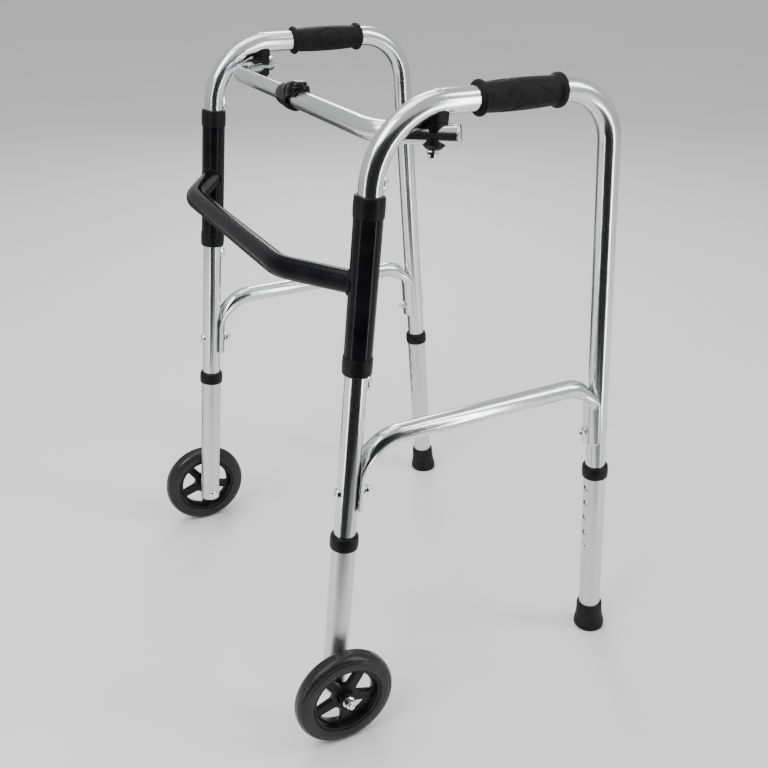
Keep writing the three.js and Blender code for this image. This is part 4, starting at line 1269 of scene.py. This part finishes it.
def pivot_hardware(name, side):
    """The upright pivot bolt with a low dome head, and the dome nut under the crossbar."""
    low = SADDLE_LOW_Z - 0.0055
    length = HANDLE_Z + TUBE_R - 0.0006 - low
    seat = length - 0.0024
    corners = (
        (0, 0), (PIVOT_BOLT_R, 0), (PIVOT_BOLT_R, seat), (PIVOT_HEAD_R, seat),
        (PIVOT_HEAD_R, length, 0.0006), (PIVOT_HEAD_R - 0.0016, length + 0.0008, 0.0012),
        (0, length + 0.0010),
    )
    bolt = turned(name + "_pivot_bolt", corners, on_pivot(side, low), FRONT_UP, sides=48, steps=8)
    fit(bolt, "side_" + name, "satin_aluminium", "pivot_bolt_" + name)
    nut_at = on_pivot(side, SADDLE_LOW_Z - 0.0002)
    nut = hex_nut(name + "_pivot_nut", nut_at, -FRONT_UP, 0.0112, 0.0050, dome=0.0066)
    fit(nut, "side_" + name, "chrome", "pivot_nut_" + name)


# ---------- crossbar lock ----------

# Places along the crossbar from its middle, radii, and heights above its axis
LOCK_BUTTON_X = middle("lock_button").x
LOCK_BUTTON_R = 0.0112
LOCK_R = 0.015
LOCK_FROM, LOCK_TO = -0.033, 0.025
LOCK_RING = -0.0095
LOCK_MOUTH_R = 0.0126
LOCK_HOOD_X = -0.0005
LOCK_HOOD_R = 0.0142
LOCK_HOOD_TOP = 0.0186
LOCK_FLOOR = 0.0122
LOCK_REST = 0.0024
LOCK_COLLAR = 0.0160


def lock_housing():
    """A barrel with a domed hood, a visor over the outer tube and the button's well."""
    waist = LOCK_R - 0.0020
    body = turned("lock_body", (
        (0, LOCK_FROM), (LOCK_R - 0.0034, LOCK_FROM, 0.0010), (LOCK_R - 0.0018, LOCK_FROM + 0.004, 0.004),
        (LOCK_R - 0.0007, LOCK_RING - 0.001, 0.0008), (waist, LOCK_RING, 0.0005),
        (waist, LOCK_RING + 0.001, 0.0005), (LOCK_R, LOCK_RING + 0.0014, 0.0006), (LOCK_R, 0.004, 0.004),
        (LOCK_MOUTH_R + 0.0006, LOCK_TO - 0.0006, 0.0006), (LOCK_MOUTH_R, LOCK_TO), (0, LOCK_TO),
    ), on_bar(0), ACROSS, sides=96)
    hood = turned("cutter", (
        (0, 0), (LOCK_HOOD_R, 0), (LOCK_HOOD_R + 0.0001, 0.009, 0.004), (0.0121, 0.0152, 0.004),
        (0.0062, 0.0182, 0.005), (0, LOCK_HOOD_TOP),
    ), on_bar(LOCK_HOOD_X), UP, sides=72, steps=8)
    collar = turned("cutter", (
        (0, 0.004), (LOCK_BUTTON_R + 0.0030, 0.004), (LOCK_BUTTON_R + 0.0026, 0.0125, 0.003),
        (LOCK_BUTTON_R + 0.0014, LOCK_COLLAR, 0.0012), (0, LOCK_COLLAR),
    ), on_bar(LOCK_BUTTON_X), UP)
    joined(body, hood, collar)
    cut(body, visor_cutter())
    floor = on_bar(LOCK_BUTTON_X, LOCK_FLOOR)
    well = rod(floor, floor + UP * 0.02, LOCK_BUTTON_R + 0.0003, 64)
    outer_from = on_bar(BAR_FREE_X["left"] - 0.0003)
    outer_bore = rod(outer_from, on_bar(LOCK_TO + 0.01), BAR_R["left"] + 0.0003, 64)
    inner_bore = rod(on_bar(LOCK_FROM - 0.01), on_bar(LOCK_TO), BAR_R["right"] + 0.0004, 64)
    cut(body, well, outer_bore, inner_bore)
    soften(body, 0.0006, 45)
    fit(body, "crossbar_left", "gloss_plastic", "lock_housing")


def visor_cutter():
    """What is cut away below the visor: a wedge on the outer tube's side."""
    reach, visor = 0.03, 0.0058
    beyond = LOCK_TO + reach
    corners = ((0.0035, -reach), (0.0050, 0.0022), (0.0150, visor), (beyond, visor), (beyond, -reach))
    flat = outline(*((x, z, 0.002) for x, z in corners), closed=True)
    rings = [[on_bar(x, z) + Vector((0, y, 0)) for x, z in flat] for y in (-reach, reach)]
    return skin("cutter", rings)


def lock_button():
    radius, stem_r, stem_top = LOCK_BUTTON_R, 0.0054, 0.0026
    corners = (
        (0, stem_top), (stem_r, stem_top), (stem_r, 0), (radius, 0, 0.0002), (radius, 0.0020, 0.002),
        (radius * 0.88, 0.0048, 0.003), (radius * 0.52, 0.0064, 0.003), (0, 0.0067),
    )
    base = on_bar(LOCK_BUTTON_X, LOCK_FLOOR + LOCK_REST)
    button = turned("lock_push_button", corners, base, UP, steps=10)
    fit(button, "lock_button", "gloss_plastic", "lock_button")


# ---------- the walker ----------

def carried_over_nodes():
    """The springs inside keep their CAD shape and get their finish here."""
    for name, node in frame["nodes"].items():
        if "spring" in name:
            node.data.materials.clear()
            node.data.materials.append(MATERIALS["spring_steel"])


def build():
    add_camera()
    add_light()
    add_floor()
    add_painted_reflections()
    for name, side in SIDES:
        for make in (side_frame, grip, side_brace, stop_rivets, sleeve_bushes, rear_tip, wheel_hub,
                     wheel_tyre, axle, crossbar_tube, saddles, pivot_hardware):
            make(name, side)
        for end in LEGS:
            for make in (brace_bolt, leg_extension, leg_collar, snap_button):
                make(name, side, end)
    front_brace()
    lock_housing()
    lock_button()
    carried_over_nodes()


build()
